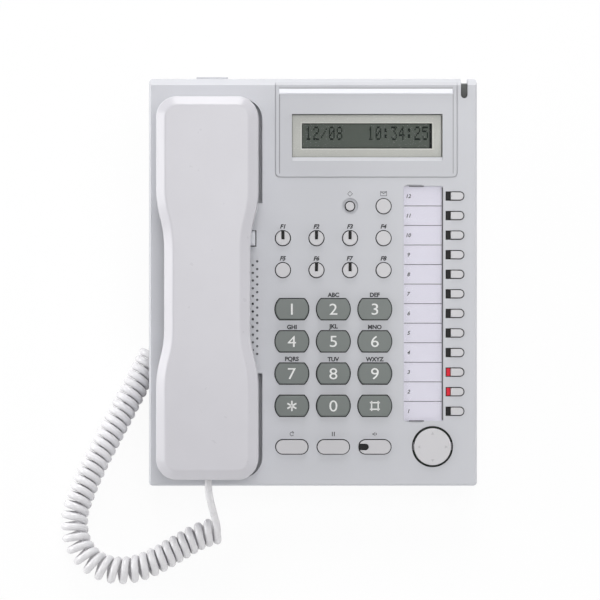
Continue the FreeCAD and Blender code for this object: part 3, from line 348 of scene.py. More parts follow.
def clear_plastic(name, base, alpha=0.12, roughness=0.06):
    """Thin clear sheet: mostly see-through, with gloss and faint scuffs."""
    finish = Finish(name)
    scuff = finish.noise(3 * mm, 4.0, 0.7)
    gloss = (scuff * 0.1 + roughness).limited()
    veil = (scuff * 0.03 + (alpha - 0.015)).limited()
    return finish.surface(colour=base, roughness=gloss, alpha=veil, ior=1.49)


def ink(name, base, roughness=0.5, ior=1.4):
    """Flat printed film with a slightly uneven surface, for real print and also for painted shade and painted
    highlights.
    """
    finish = Finish(name)
    film = finish.noise(0.5 * mm)
    tone = finish.tint(film, base, 0.9, 1.12)
    return finish.surface(colour=tone, roughness=(film * 0.2 + roughness).limited(), ior=ior)


def paper(name, base):
    finish = Finish(name)
    fibre = finish.noise(0.8 * mm, 5.0, 0.7)
    tone = finish.tint(fibre, base, 0.97, 1.02)
    return finish.surface(colour=tone, roughness=0.8, normal=finish.bump(fibre, 0.15))


def lamp_plastic(name, base, glow=0.0):
    """Tinted light pipe, a little brighter in its depth when lit."""
    finish = Finish(name)
    cloud = finish.noise(1.5 * mm)
    tone = finish.tint(cloud, base, 0.85, 1.15)
    gloss = (cloud * 0.1 + 0.4).limited()
    return finish.surface(colour=tone, roughness=gloss, glow=tone, glow_strength=glow, ior=1.25)


def message_lamp_plastic(name, base):
    """Smoky lens, painted pale grey where it wraps over the rear bevel as a painted highlight, and lighter
    towards the rear.
    """
    finish = Finish(name)
    run = finish.along(1)
    # painted highlight: pale grey over the rear bevel, where the rear lamp lights it
    bevel_highlight = ((run - 114.6 * mm) * 900.0).limited()
    # the smoky tone is lighter towards the rear
    depth = ((run - 107.0 * mm) * 110.0).limited()
    tone = finish.blend(bevel_highlight, finish.tint(depth, base, 0.75, 2.6), (0.82, 0.83, 0.85))
    film = finish.noise(2 * mm)
    return finish.surface(colour=tone, roughness=(film * 0.1 + 0.2).limited(), ior=1.3)


def rubber(name, base):
    finish = Finish(name)
    tone = finish.tint(finish.noise(5 * mm, 3.0), base, 0.85, 1.2)
    normal = finish.bump(finish.noise(0.4 * mm, 1.0), 0.3, 0.03 * mm)
    return finish.surface(colour=tone, roughness=0.75, normal=normal)


def metal(name, base, roughness=0.35):
    finish = Finish(name)
    brush = finish.noise(0.6 * mm, 3.0, 0.7)
    tone = finish.tint(brush, base, 0.88, 1.08)
    gloss = (brush * 0.2 + (roughness - 0.1)).limited()
    return finish.surface(colour=tone, metallic=1.0, roughness=gloss)


def circuit_board(name):
    """Green lacquer over faint copper tracks, and the dark plastic of the sockets under it."""
    finish = Finish(name)
    tracks = finish.node("ShaderNodeTexVoronoi", {"distance": "MANHATTAN"},
                         {"Vector": finish.place(), "Scale": 260.0})
    lacquer = finish.blend(tracks > 0.52, (0.013, 0.034, 0.020), (0.030, 0.066, 0.040))
    depth = (finish.along(2) - board_top) * -1.0
    tone = finish.blend(depth > 1.8 * mm, lacquer, (0.045, 0.045, 0.047))
    return finish.surface(colour=tone, roughness=0.34)


def sleeve_plastic(name, base):
    """Glossy soft vinyl over the curly cord's wires."""
    return coated_plastic(name, 9, (shade(base, 0.96), shade(base, 1.02)), 3, (0.14, 0.22), 1.2, 0.1, 0.35)


# Modelling


def clear_selection():
    active = bpy.context.view_layer.objects.active
    if active is not None and active.mode != "OBJECT":
        leave_edit()
    bpy.ops.object.select_all(action="DESELECT")


def edit(select="SELECT"):
    """Edit mode, with all of the mesh selected or none of it."""
    bpy.ops.object.mode_set(mode="EDIT")
    bpy.ops.mesh.select_all(action=select)


def leave_edit():
    bpy.ops.object.mode_set(mode="OBJECT")


def pick(parts, wanted):
    """Selects the points or faces of the active mesh that are wanted, in edit mode."""
    edit("DESELECT")
    leave_edit()
    for part in parts:
        part.select = wanted(part)
    bpy.ops.object.mode_set(mode="EDIT")


def extrude(height):
    bpy.ops.mesh.extrude_region_move(TRANSFORM_OT_translate={"value": (0, 0, height)})


def take(*objects):
    """Selects these objects, the first one active."""
    clear_selection()
    for item in objects:
        item.select_set(True)
    bpy.context.view_layer.objects.active = objects[0]


def add_object(name, data):
    item = bpy.data.objects.new(name, data)
    bpy.context.scene.collection.objects.link(item)
    return item


def apply_place(item):
    take(item)
    bpy.ops.object.transform_apply(location=True, rotation=True, scale=True)
    return item


def shift(u, v, w=0.0, turn=0.0):
    """The matrix that turns a flat drawing about its origin and moves it to a place."""
    return Matrix.Translation((u, v, w)) @ Matrix.Rotation(turn, 4, "Z")


def moved_copies(item, places):
    """Copies of a pattern, each with its own mesh moved by a matrix. The pattern goes."""
    copies = []
    for place in places:
        copy = add_object(item.name, item.data.copy())
        copy.data.transform(place)
        copies.append(copy)
    bpy.data.objects.remove(item)
    return copies


def smooth(item):
    """Smooth shading that leaves wide flat faces flat."""
    take(item)
    bpy.ops.object.shade_smooth_by_angle(angle=math.radians(32.0))
    modifier = item.modifiers.new("Normals", "WEIGHTED_NORMAL")
    modifier.weight = 100
    modifier.keep_sharp = True
    bpy.ops.object.modifier_apply(modifier=modifier.name)


def bevel(item, width, segments=2, angle=30.0):
    modifier = item.modifiers.new("Bevel", "BEVEL")
    modifier.width = width
    modifier.segments = segments
    modifier.limit_method = "ANGLE"
    modifier.angle_limit = math.radians(angle)
    modifier.use_clamp_overlap = True
    take(item)
    bpy.ops.object.modifier_apply(modifier=modifier.name)


def worked_copy(node, name, width, segments=2, angle=30.0):
    """A copy of a CAD node with its triangles joined into faces and its edges rounded."""
    take(frame["nodes"][node])
    bpy.ops.object.duplicate()
    item = bpy.context.active_object
    bpy.ops.object.parent_clear(type="CLEAR_KEEP_TRANSFORM")
    item.name = name
    edit()
    bpy.ops.mesh.remove_doubles(threshold=0.01 * mm)
    bpy.ops.mesh.dissolve_limited(angle_limit=math.radians(0.4))
    leave_edit()
    if width > 0:
        bevel(item, width, segments, angle)
    smooth(item)
    return item


def dress(item, body, slot, material, *nodes):
    """Puts a finished piece on its body, with its finish, in place of the CAD nodes it stands for."""
    item.data.materials.clear()
    item.data.materials.append(material)
    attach(item, body)
    if nodes:
        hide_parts(*nodes)


def rework(node, name, body, slot, material, width, segments=2, angle=30.0):
    """A worked copy of a CAD node takes its place."""
    dress(worked_copy(node, name, width, segments, angle), body, slot, material, node)


def lay_on_face(item):
    """Moves something drawn flat onto the face, with its place in its mesh."""
    item.matrix_world = FACE @ item.matrix_world
    return apply_place(item)


def join(name, items):
    take(*items)
    if len(items) > 1:
        bpy.ops.object.join()
    item = bpy.context.active_object
    item.name = name
    return item


def lay_down(name, items, body, slot, material):
    """Joins what was drawn flat, lays it on the face and dresses it."""
    dress(lay_on_face(join(name, items)), body, slot, material)


def flat_bar(u0, v0, u1, v1, w, thickness=print_thickness):
    """Thin upright-edged bar between two corners, drawn flat."""
    clear_selection()
    bpy.ops.mesh.primitive_cube_add(size=1.0, location=((u0 + u1) / 2, (v0 + v1) / 2, w + thickness / 2))
    item = bpy.context.active_object
    item.scale = (abs(u1 - u0), abs(v1 - v0), thickness)
    return apply_place(item)


def flat_bars(w, thickness, *corners):
    return [flat_bar(*places, w, thickness) for places in corners]


def borders(sides, widths, w, thickness=print_thickness):
    """Bars inside a rectangle along its left, front, right and rear. A width, in millimetres, may be 0."""
    u0, v0, u1, v1 = sides
    left, front, right, rear = (width * mm for width in widths)
    bars = ((u0, v0, u0 + left, v1), (u0 + left, v0, u1 - right, v0 + front),
            (u1 - right, v0, u1, v1), (u0 + left, v1 - rear, u1 - right, v1))
    return flat_bars(w, thickness, *(bar for bar, width in zip(bars, widths) if width))


def curve_object(name, kind, points):
    curve = bpy.data.curves.new(name, "CURVE")
    curve.dimensions = "3D"
    spline = curve.splines.new(kind)
    spline.points.add(len(points) - 1)
    for point, place in zip(spline.points, points):
        point.co = (*place, 1.0)
    return add_object(name, curve)


def stroke(points, width, w, closed):
    """Thin half-round line of the given width along points drawn flat, made from a curve."""
    item = curve_object("stroke", "POLY", [(u, v, 0.0) for u, v in points])
    item.data.fill_mode = "HALF"
    item.data.splines[0].use_cyclic_u = closed
    item.data.bevel_depth = width / 2
    item.data.bevel_resolution = 2
    take(item)
    bpy.ops.object.convert(target="MESH")
    item.location = (0, 0, w)
    item.scale = (1, 1, print_thickness / width)
    return apply_place(item)


def lettering(text, u, v, w, height, slant=0.0, weight=0.0, wide=1.0):
    """Flat raised text centred on (u, v), whose capitals have the given height."""
    clear_selection()
    bpy.ops.object.text_add(location=(0, 0, 0))
    item = bpy.context.active_object
    item.data.body = text
    item.data.size = height / 0.73
    item.data.align_x = "CENTER"
    item.data.shear = slant
    item.data.offset = weight
    item.data.extrude = print_thickness / 2
    item.data.resolution_u = 4
    bpy.ops.object.convert(target="MESH")
    item = bpy.context.active_object
    low, high = (Vector((end(p.co[k] for p in item.data.vertices) for k in range(3))) for end in (min, max))
    middle = (low + high) / 2
    item.location = (u - middle.x * wide, v - middle.y, w + print_thickness / 2)
    item.scale = (wide, 1, 1)
    return apply_place(item)


def cut_outline(node, w):
    """Convex outline, as (u, v) corners in order, where a plane along the face cuts a CAD node."""
    item = frame["nodes"][node]
    to_face = FACE.inverted() @ item.matrix_world
    points = [to_face @ p.co for p in item.data.vertices]
    cuts = set()
    for edge in item.data.edges:
        a, b = (points[k] for k in edge.vertices)
        if (a.z - w) * (b.z - w) < 0:
            c = a.lerp(b, (w - a.z) / (b.z - a.z))
            cuts.add((round(c.x, 6), round(c.y, 6)))

    def half(places):
        side = []
        for c in places:
            while len(side) > 1:
                a, b = side[-2:]
                if (b[0] - a[0]) * (c[1] - a[1]) - (b[1] - a[1]) * (c[0] - a[0]) > 1e-10:
                    break
                side.pop()
            side.append(c)
        return side[:-1]

    return half(sorted(cuts)) + half(sorted(cuts, reverse=True))


def let_out(outline, reach):
    """The outline with every side moved outwards by the given distance."""
    moved = []
    for index, here in enumerate(outline):
        here = Vector(here)
        into = (here - Vector(outline[index - 1])).normalized()
        away = (Vector(outline[(index + 1) % len(outline)]) - here).normalized()
        out = Vector((into.y + away.y, -into.x - away.x))
        moved.append(here + out * (reach / (1 + into.dot(away))))
    return moved


def gap_ring(outline, near, far, thickness=0.12 * mm):
    """Flat ring of painted shade drawn round an outline, from one distance outside it to another."""
    count = len(outline)
    corners = [(p.x, p.y, print_lift - thickness) for p in let_out(outline, near) + let_out(outline, far)]
    sides = [(k, count + k, count + (k + 1) % count, (k + 1) % count) for k in range(count)]
    mesh = bpy.data.meshes.new("gap_ring")
    mesh.from_pydata(corners, [], sides)
    item = add_object("gap_ring", mesh)
    take(item)
    edit()
    extrude(thickness)
    bpy.ops.mesh.select_all(action="SELECT")
    bpy.ops.mesh.normals_make_consistent(inside=False)
    leave_edit()
    return item


# Cord


def cord_route():
    """The line that the curls wind round, on the table: the CAD route's points, in metres."""
    places = [
        (-0.0505, -0.1395), (-0.0625, -0.1415), (-0.078, -0.1505), (-0.0945, -0.1605),
        (-0.109, -0.1645), (-0.122, -0.163), (-0.1325, -0.156), (-0.1385, -0.1455),
        (-0.140, -0.1335), (-0.137, -0.1215), (-0.129, -0.1015), (-0.1195, -0.0825),
        (-0.1105, -0.0645), (-0.1015, -0.046), (-0.094, -0.031),
    ]
    settings = bpy.context.scene.telephone_cord
    height = settings.curl_radius + settings.wire * settings.swell / 2 + settings.lift
    return [Vector((x, y, height)) for x, y in places]


def nurbs_curve(name, points, resolution):
    """Open smooth curve with the points as its control points."""
    item = curve_object(name, "NURBS", points)
    spline = item.data.splines[0]
    spline.order_u = 3
    spline.use_endpoint_u = True
    spline.resolution_u = resolution
    return item


def line_points(item):
    """Places along a curve that has no bevel, as Blender evaluates it."""
    graph = bpy.context.evaluated_depsgraph_get()
    mesh = bpy.data.meshes.new_from_object(item.evaluated_get(graph))
    points = [v.co.copy() for v in mesh.vertices]
    bpy.data.meshes.remove(mesh)
    return points


class CurlLine:
    """The line under the curls: place, heading and bend at any length along it."""

    def __init__(self, points):
        self.points = points
        self.lengths = [0.0]
        for a, b in zip(points, points[1:]):
            self.lengths.append(self.lengths[-1] + (b - a).length)
        self.total = self.lengths[-1]

    def place(self, run):
        run = min(max(run, 0.0), self.total * (1 - 1e-9))
        low = bisect.bisect_right(self.lengths, run) - 1
        part = (run - self.lengths[low]) / (self.lengths[low + 1] - self.lengths[low])
        return self.points[low].lerp(self.points[low + 1], part)

    def heading(self, run):
        return (self.place(run + 2 * mm) - self.place(run - 2 * mm)).normalized()

    def bend(self, run, window):
        low = max(0.0, run - window / 2)
        high = min(self.total, run + window / 2)
        return self.heading(low).angle(self.heading(high)) / (high - low)


def curl_points(line, settings):
    """Helix round the line. Curls lie closed in a straight run and open where the line bends."""
    points = []
    run = 0.0
    turns = 0.0
    step = 0.1 * mm
    due = 1.0
    while run < line.total:
        bend = line.bend(run, settings.window)
        pitch = (settings.wire + settings.rest_gap) / (1 - settings.curl_radius * bend)
        run += step
        turns += step / pitch
        if turns >= due:
            ahead = line.heading(run)
            left = Vector((-ahead.y, ahead.x, 0))
            angle = 2 * math.pi * due
            rise = Vector((0, 0, math.cos(angle) * settings.curl_radius))
            points.append(line.place(run) + rise + left * (math.sin(angle) * settings.curl_radius))
            due += 1.0 / settings.points_per_turn
    # the last curl ends where the wire leaves its right-hand side, on its way up
    spare = round((turns - math.floor(turns - 1) - 0.75) * settings.points_per_turn)
    return points[:len(points) - spare]


class PHONE_OT_cord(Operator):
    """Curly cord from the handset's lower end, across the table, to the socket under the case"""

    bl_idname = "phone.curly_cord"
    bl_label = "Curly cord"

    def execute(self, context):
        settings = context.scene.telephone_cord
        route = nurbs_curve("cord_route", cord_route(), 24)
        line = CurlLine(line_points(route))
        bpy.data.objects.remove(route)
        curls = curl_points(line, settings)
        start = on_face(handset_u, handset_front, handset_plug_w)
        before, after = self.tails(curls, start)
        cord = nurbs_curve("curly_cord", before + curls + after, 3)
        path = line_points(cord)
        cord.data.bevel_depth = settings.wire / 2
        cord.data.bevel_resolution = 4
        for point in cord.data.splines[0].points[len(before) + 4:len(before) + len(curls) - 4]:
            point.radius = settings.swell
        cord.data.use_fill_caps = True
        cord.data.materials.append(sleeve_plastic("cord_sleeve", context.scene.telephone_colours.cord))
        take(cord)
        bpy.ops.object.convert(target="MESH")
        cord = bpy.context.active_object
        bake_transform(cord)
        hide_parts("coiled_cord")
        return {"FINISHED"}

    def tails(self, curls, start):
        """The straight ends: from the handset's plug to the coil, and from there to the base's plug."""
        ahead = (FACE.to_3x3() @ Vector((0, -1, 0))).normalized()
        end = on_face(base_socket_u, base_plug_v, base_plug_w)
        first, last = curls[0], curls[-1]
        first_way = (curls[1] - first).normalized()
        last_way = (last - curls[-2]).normalized()
        before = [
            start, start + ahead * 5 * mm, start + ahead * 9 * mm + Vector((0.2, 0, 0)) * mm,
            start + ahead * 14 * mm + Vector((1.3, 0, -2.5)) * mm,
            first - first_way * 8 * mm + Vector((-1.4, 0, 3.5)) * mm,
            first - first_way * 3.5 * mm + Vector((-0.3, 0, 0.3)) * mm,
        ]
        after = [
            last + last_way * 4 * mm, last + last_way * 9 * mm + Vector((1, 2, 0)) * mm,
            end + ahead * 24 * mm, end + ahead * 12 * mm, end + ahead * 5 * mm, end,
        ]
        return before, after


class PHONE_OT_stage(Operator):
    """Pale table, plain soft lamps, white surroundings and the camera square to the face"""

    bl_idname = "phone.stage"
    bl_label = "Stage and camera"

    def execute(self, context):
        settings = context.scene.telephone_stage
        scene = context.scene
        scene.view_settings.view_transform = "Standard"
        self.camera(settings, scene)
        clear_selection()
        bpy.ops.mesh.primitive_plane_add(size=6.0, location=(0, 0, -0.05 * mm))
        table = bpy.context.active_object
        table.name = "table"
        table.data.materials.append(self.table_finish())
        self.lamp("key_lamp", on_face(0.25, 0.35, 1.5), settings.key_power, 1.1)
        self.lamp("rear_lamp", on_face(0.0, 2.5, 0.7), settings.rear_power, 1.3)
        self.lamp("side_lamp", on_face(-2.15, 0.3, 0.5), settings.side_power, 1.1)
        self.surroundings(scene, settings.ambient, settings.horizon)
        return {"FINISHED"}

    def camera(self, settings, scene):
        data = bpy.data.cameras.new("camera")
        camera = add_object("camera", data)
        data.sensor_width = 36.0
        data.lens = data.sensor_width * settings.distance / settings.frame_width
        data.clip_end = 20.0
        place = Matrix.Translation(Vector((settings.centre_u, settings.centre_v, settings.distance)))
        camera.matrix_world = FACE @ place
        scene.camera = camera

    def lamp(self, name, place, strength, size):
        clear_selection()
        bpy.ops.object.light_add(type="AREA", location=place)
        lamp = bpy.context.active_object
        lamp.name = name
        lamp.data.energy = strength
        lamp.data.size = size
        lamp.rotation_euler = (on_face(0, 0) - place).to_track_quat("-Z", "Y").to_euler()

    def table_finish(self):
        """Pale and matt, and all but white where it is seen, so that the shadow stays."""
        finish = Finish("table_top")
        matt = finish.node("ShaderNodeBsdfDiffuse", {}, {"Color": (0.94, 0.94, 0.94)})
        white = finish.node("ShaderNodeEmission", {}, {"Color": (1.0, 1.0, 1.0), "Strength": 1.0})
        share = finish.ray("Is Camera Ray") * 0.93
        return finish.close("Material", finish.node("ShaderNodeMixShader", {}, {0: share, 1: matt, 2: white}))

    def surroundings(self, scene, strength, horizon):
        """White where it is seen, and else a soft tent whose light comes mostly from low down."""
        scene.world = bpy.data.worlds.new("studio")
        sky = Finish(scene.world)
        mirrored = sky.ray("Is Glossy Ray").larger(sky.ray("Is Transmission Ray"))
        seen = sky.ray("Is Camera Ray").larger(mirrored)
        way = sky.node("ShaderNodeTexCoord", output="Generated")
        height = sky.node("ShaderNodeSeparateXYZ", {}, {0: way}, "Z")
        tent = sky.node("ShaderNodeMapRange", {"interpolation_type": "SMOOTHSTEP"},
                        {"Value": height, "From Max": 0.5, "To Min": strength * (1 + horizon),
                         "To Max": strength}, "Result")
        level = sky.node("ShaderNodeMapRange", {}, {"Value": seen, "To Min": tent, "To Max": 1.0}, "Result")
        light = sky.node("ShaderNodeBackground", {}, {"Color": (1.0, 1.0, 1.0), "Strength": level})
        sky.close("World", light)


class PHONE_OT_case(Operator):
    """Both case shells, the tilt stand, the display bezel and the small parts under them"""

    bl_idname = "phone.case"
    bl_label = "Case and stand"

    def execute(self, context):
        case = context.scene.telephone_colours.case
        plastic = moulded_plastic("case_plastic", case)
        for node, width in (("upper_case", 0.22), ("lower_case", 0.3), ("tilt_stand", 0.5)):
            rework(node, node + "_shell", "base", "case", plastic, width * mm)
        rework("display_bezel", "display_bezel_frame", "base", "bezel",
               moulded_plastic("bezel_plastic", shade(case, 0.94), 0.38), 0.35 * mm, 3)
        # Painted shade: a dark step, 0.72 of the case colour, behind the rail stands for the shaded line
        # between the rail and the rear bevel.
        step = flat_bar(rail_left, step_front, rail_right, step_rear, 0.45 * mm, 0.72 * mm)
        bevel(step, 0.1 * mm)
        lay_down("rail_step", [step], "base", "bezel", moulded_plastic("step_painted_shade", shade(case, 0.72)))
        # Painted highlight: the rail is one and a half times as light as the case, for the bright band that
        # light makes on the rib.
        lay_down("bezel_rail", [self.rail()], "base", "bezel",
                 smooth_plastic("rail_painted_highlight", shade(case, 1.50), 0.22, 0.25))
        lay_down("bezel_rim_lines", self.rim_lines(), "base", "bezel",
                 ink("rim_shadow", shade(case, 0.42), 0.6))
        lay_down("grille_pits", self.pits(), "base", "case",
                 ink("pit_shadow", shade(case, 0.30), 0.7, 1.2))
        rework("rubber_feet", "feet", "base", "rubber", rubber("foot_rubber", (0.035, 0.035, 0.037)),
               0.6 * mm, 3)
        rework("case_screws", "screws", "base", "screw", metal("screw_steel", (0.60, 0.60, 0.62)), 0.25 * mm)
        return {"FINISHED"}

    def rail(self):
        """Rounded rail over the bezel's rib, flat on top."""
        item = flat_bar(rail_left, rail_front, rail_right, rail_rear, 0.35 * mm, 0.9 * mm)
        pick(item.data.vertices, lambda point: point.co.z > 0.8 * mm)
        bpy.ops.transform.resize(value=(0.994, 0.74, 1))
        leave_edit()
        bevel(item, 0.3 * mm, 3, 20.0)
        smooth(item)
        return item

    def rim_lines(self):
        """Shaded lines where the bezel's raised rim meets its plate."""
        sides = (bezel_left + 2.3 * mm, bezel_front + 2.2 * mm, bezel_right - 2.3 * mm, rail_front - 0.1 * mm)
        return borders(sides, (0.4, 0, 0.3, 0), bezel_rise + print_lift)

    def pits(self):
        """Painted shade: dark discs in the bottoms of the grille's blind holes, which are those away from the
        loudspeaker.
        """
        places = []
        for column in range(3):
            for row in range(13 - column % 2):
                u = grille_u - column * grille_pitch_u
                v = grille_v - (row + column % 2 / 2) * grille_pitch_v
                if math.hypot(u - speaker_u, v - speaker_v) >= grille_open_radius:
                    places.append(shift(u, v, -0.9 * mm))
        clear_selection()
        bpy.ops.mesh.primitive_cylinder_add(vertices=10, radius=0.72 * mm, depth=0.1 * mm)
        pit = bpy.context.active_object
        bevel(pit, 0.03 * mm, 1)
        return moved_copies(pit, places)


class PHONE_OT_display(Operator):
    """Window, its surround, the display's glass and the characters on it"""

    bl_idname = "phone.display"
    bl_label = "Display"

    opening = (75.6 * mm, 14.6 * mm)
    outer = (87.4 * mm, 26.8 * mm)
    depth = 1.3 * mm
    glyphs = {
        "0": "01110 10001 10011 10101 11001 10001 01110",
        "1": "00100 01100 00100 00100 00100 00100 01110",
        "2": "01110 10001 00001 00110 01000 10000 11111",
        "3": "11111 00010 00100 00010 00001 10001 01110",
        "4": "00010 00110 01010 10010 11111 00010 00010",
        "5": "11111 10000 11110 00001 00001 10001 01110",
        "8": "01110 10001 10001 01110 10001 10001 01110",
        ":": "00000 01100 01100 00000 01100 01100 00000",
        "/": "00000 00001 00010 00100 01000 10000 00000",
    }

    def execute(self, context):
        colours = context.scene.telephone_colours
        surround = colours.surround
        rework("display_window", "window_lens", "base", "window",
               clear_plastic("window_acrylic", (0.12, 0.12, 0.12), 0.03), 0.2 * mm)
        dress(self.surround(), "base", "display", moulded_plastic("surround_plastic", surround, 0.5),
              "lcd_module")
        glass = flat_bar(*self.sides(self.opening, lcd_v), surround_top - self.depth, 0.15 * mm)
        bevel(glass, 0.05 * mm)
        lay_down("display_glass", [glass], "base", "display", self.display_finish(colours.display))
        lay_down("display_characters", self.characters("12/08   10:34:25"), "base", "display",
                 ink("display_segments", (0.008, 0.014, 0.011), 0.6, 1.1))
        # painted shade round the display glass
        lay_down("display_edges", self.shaded_edges(), "base", "display",
                 ink("display_edge_painted_shade", (0.010, 0.010, 0.010), 0.6, 1.1))
        lay_down("surround_outline", self.surround_outline(), "base", "display",
                 ink("surround_shadow", shade(surround, 0.28), 0.6, 1.2))
        # painted highlight round the display glass
        lay_down("display_bright_edges", self.bright_edges(), "base", "display",
                 ink("display_edge_painted_highlight", shade(surround, 1.25), 0.4))
        return {"FINISHED"}

    def sides(self, size, v, spare=0.0):
        """Left, front, right and rear of a rectangle in the middle of the window, at v along the face."""
        across = size[0] / 2 + spare
        along = size[1] / 2 + spare
        return window_u - across, v - along, window_u + across, v + along

    def surround(self):
        """Plate under the window, with a square-edged opening down to the glass."""
        item = flat_bar(*self.sides(self.outer, window_v), board_top, surround_top - board_top)
        edit("DESELECT")
        bpy.ops.mesh.select_mode(type="FACE")
        pick(item.data.polygons, lambda face: face.normal.z > 0.9)
        extrude(0)
        share = (self.opening[0] / self.outer[0], self.opening[1] / self.outer[1], 1)
        bpy.ops.transform.resize(value=share)
        bpy.ops.transform.translate(value=(0, lcd_v - window_v, 0))
        extrude(-self.depth)
        leave_edit()
        bevel(item, 0.12 * mm)
        smooth(item)
        item.name = "display_surround"
        return lay_on_face(item)

    def shaded_edges(self):
        """Painted shade along the borders of the glass, widest on the right, where its frame shades it."""
        return borders(self.sides(self.opening, lcd_v), (0.4, 0.6, 1.5, 0.45),
                       lens_under - self.depth - 0.04 * mm)

    def bright_edges(self):
        """Painted highlight: a light line for what the surround's rounded edge catches round the glass."""
        return borders(self.sides(self.opening, lcd_v, 0.7 * mm), (0.55, 0.55, 0.55, 0.55),
                       surround_top + print_lift, film_thickness)

    def surround_outline(self):
        """Painted shade line where the surround dips under the bezel on the right, on the left and in front.
        """
        left, front, right, rear = self.sides(self.outer, window_v)
        dip = (left + 0.2 * mm, front + 2.0 * mm, right - 0.2 * mm, rear - 0.5 * mm)
        return borders(dip, (0.25, 0.45, 0.45, 0), surround_top + print_lift, film_thickness)

    def display_finish(self, base):
        """Grey-green polariser with fine vertical rubbing lines."""
        finish = Finish("display_polariser")
        tone = finish.tint(finish.noise(16 * mm), base, 0.93, 1.07)
        fine = finish.node("ShaderNodeTexWave", {"bands_direction": "X"},
                           {"Vector": finish.place(), "Scale": 900.0})
        shown = finish.blend(fine * 0.12, tone, shade(base, 1.3))
        return finish.surface(colour=shown, roughness=0.45, ior=1.15)

    def characters(self, text):
        """Dot-matrix characters, five dots by seven, and blanks."""
        pitch = 4.52 * mm
        across = 0.66 * mm
        down = 1.13 * mm
        left = window_u - pitch * len(text) / 2 + 0.5 * mm
        top = lcd_v + 5.6 * mm
        places = []
        for index, letter in enumerate(text):
            for row, line in enumerate(self.glyphs.get(letter, "").split()):
                for column, mark in enumerate(line):
                    if mark == "1":
                        u = left + index * pitch + column * across
                        places.append(shift(u, top - (row + 1) * down))
        dot = flat_bar(0, 0, across * 0.98, down * 0.96, lens_under - self.depth - 0.03 * mm, film_thickness)
        return moved_copies(dot, places)


class PHONE_OT_keys(Operator):
    """Every key cap, with softened edges"""

    bl_idname = "phone.keys"
    bl_label = "Keys"

    ring = (0.04 * mm, 0.56 * mm)
    navigator_ring = (0.75 * mm, 1.25 * mm)
    lamp_reach = 2.4 * mm

    def execute(self, context):
        colours = context.scene.telephone_colours
        light = smooth_plastic("light_key_plastic", colours.light_key, 0.32, 0.15)
        dark = smooth_plastic("dial_key_plastic", colours.dial_key, 0.34, 0.0)
        keys = [n for n in frame["nodes"] if "_key_" in n or n.endswith("_key") and n != "navigator_key"]
        for node in keys:
            dial = node.startswith("dial_key")
            rework(node, node + "_cap", node, "key", dark if dial else light, (0.7 if dial else 0.35) * mm,
                   3, 50.0)
        # Painted shade: dark rings round each key, the hook switch and the navigator stand for the shade in
        # the gaps of their wells.
        rings = []
        for node in frame["nodes"]:
            if node in keys or node == "hook_switch":
                outline = cut_outline(node, -0.3 * mm)
                if node.startswith("line_key"):
                    left = min(u for u, v in outline) + 0.1 * mm
                    outline = [(u - self.lamp_reach if u < left else u, v) for u, v in outline]
                rings.append(gap_ring(outline, *self.ring))
        rings.append(gap_ring(cut_outline("navigator_key", nav_top - 0.7 * mm), *self.navigator_ring))
        lay_down("key_gap_shade", rings, "base", "case", ink("gap_shadow", colours.gap, 0.7, 1.2))
        return {"FINISHED"}


class PHONE_OT_navigator(Operator):
    """Navigator disc with its four raised arrows, its rocker and the hook switch"""

    bl_idname = "phone.navigator"
    bl_label = "Navigator and hook switch"

    arrow_reach = 7.6 * mm
    arrow_size = 0.95 * mm

    def execute(self, context):
        colours = context.scene.telephone_colours
        disc = smooth_plastic("navigator_plastic", shade(colours.light_key, 1.08), 0.36, 0.1)
        rework("navigator_key", "navigator_disc", "navigator", "key", disc, 0.5 * mm, 3, 50.0)
        clear_selection()
        bpy.ops.mesh.primitive_cone_add(vertices=3, radius1=self.arrow_size * 1.2, radius2=self.arrow_size,
                                        depth=0.12 * mm, location=(0, self.arrow_reach, nav_top + 0.05 * mm))
        arrow = apply_place(bpy.context.active_object)
        arrows = moved_copies(arrow, [shift(nav_u, nav_v, 0.0, k * math.pi / 2) for k in range(4)])
        lay_down("navigator_arrows", arrows, "navigator", "key",
                 smooth_plastic("arrow_plastic", shade(colours.light_key, 0.95)))
        rework("navigator_rocker", "gimbal_ring", "rocker", "key",
               smooth_plastic("gimbal_plastic", (0.60, 0.60, 0.58)), 0.2 * mm)
        rework("hook_switch", "hook_plunger", "hook", "case",
               moulded_plastic("hook_plastic", shade(colours.case, 1.08)), 0.3 * mm, 3)
        return {"FINISHED"}


class PHONE_OT_lamps(Operator):
    """Light pipes beside the keys: two lit, the others dark, and the message lamp on the rear edge"""

    bl_idname = "phone.lamps"
    bl_label = "Lamps"

    lit_rows = (2, 3)

    def execute(self, context):
        colours = context.scene.telephone_colours
        take(worked_copy("lamp_lenses", "dark_lamps", 0))
        edit()
        bpy.ops.mesh.separate(type="LOOSE")
        leave_edit()
        groups = {"dark_lamps": [], "lit_lamps": [], "message_lamp": []}
        for item in list(context.selected_objects):
            groups[self.kind(item)].append(item)
        dark, lit, message = (join(name, items) for name, items in groups.items())
        bevel(dark, 0.12 * mm)
        dress(dark, "base", "lamp", lamp_plastic("dark_lamp_plastic", colours.lamp_off), "lamp_lenses")
        bevel(lit, 0.12 * mm)
        dress(lit, "base", "lamp", lamp_plastic("lit_lamp_plastic", colours.lamp_lit, 0.2))
        bevel(message, 0.4 * mm, 3, 40.0)
        smooth(message)
        dress(message, "base", "lamp", message_lamp_plastic("message_lamp_plastic", (0.036, 0.038, 0.037)))
        return {"FINISHED"}

    def kind(self, item):
        """Which piece a loose part of the lenses belongs to, by where its middle lies on the face."""
        to_face = FACE.inverted()
        points = [to_face @ p.co for p in item.data.vertices]
        u = sum(p.x for p in points) / len(points)
        v = sum(p.y for p in points) / len(points)
        lit_places = [line_top_v - (line_count - row) * line_pitch for row in self.lit_rows]
        if v > bezel_front + 40 * mm:
            return "message_lamp"
        if u > label_left and min(abs(v - place) for place in lit_places) < line_pitch / 3:
            return "lit_lamps"
        return "dark_lamps"


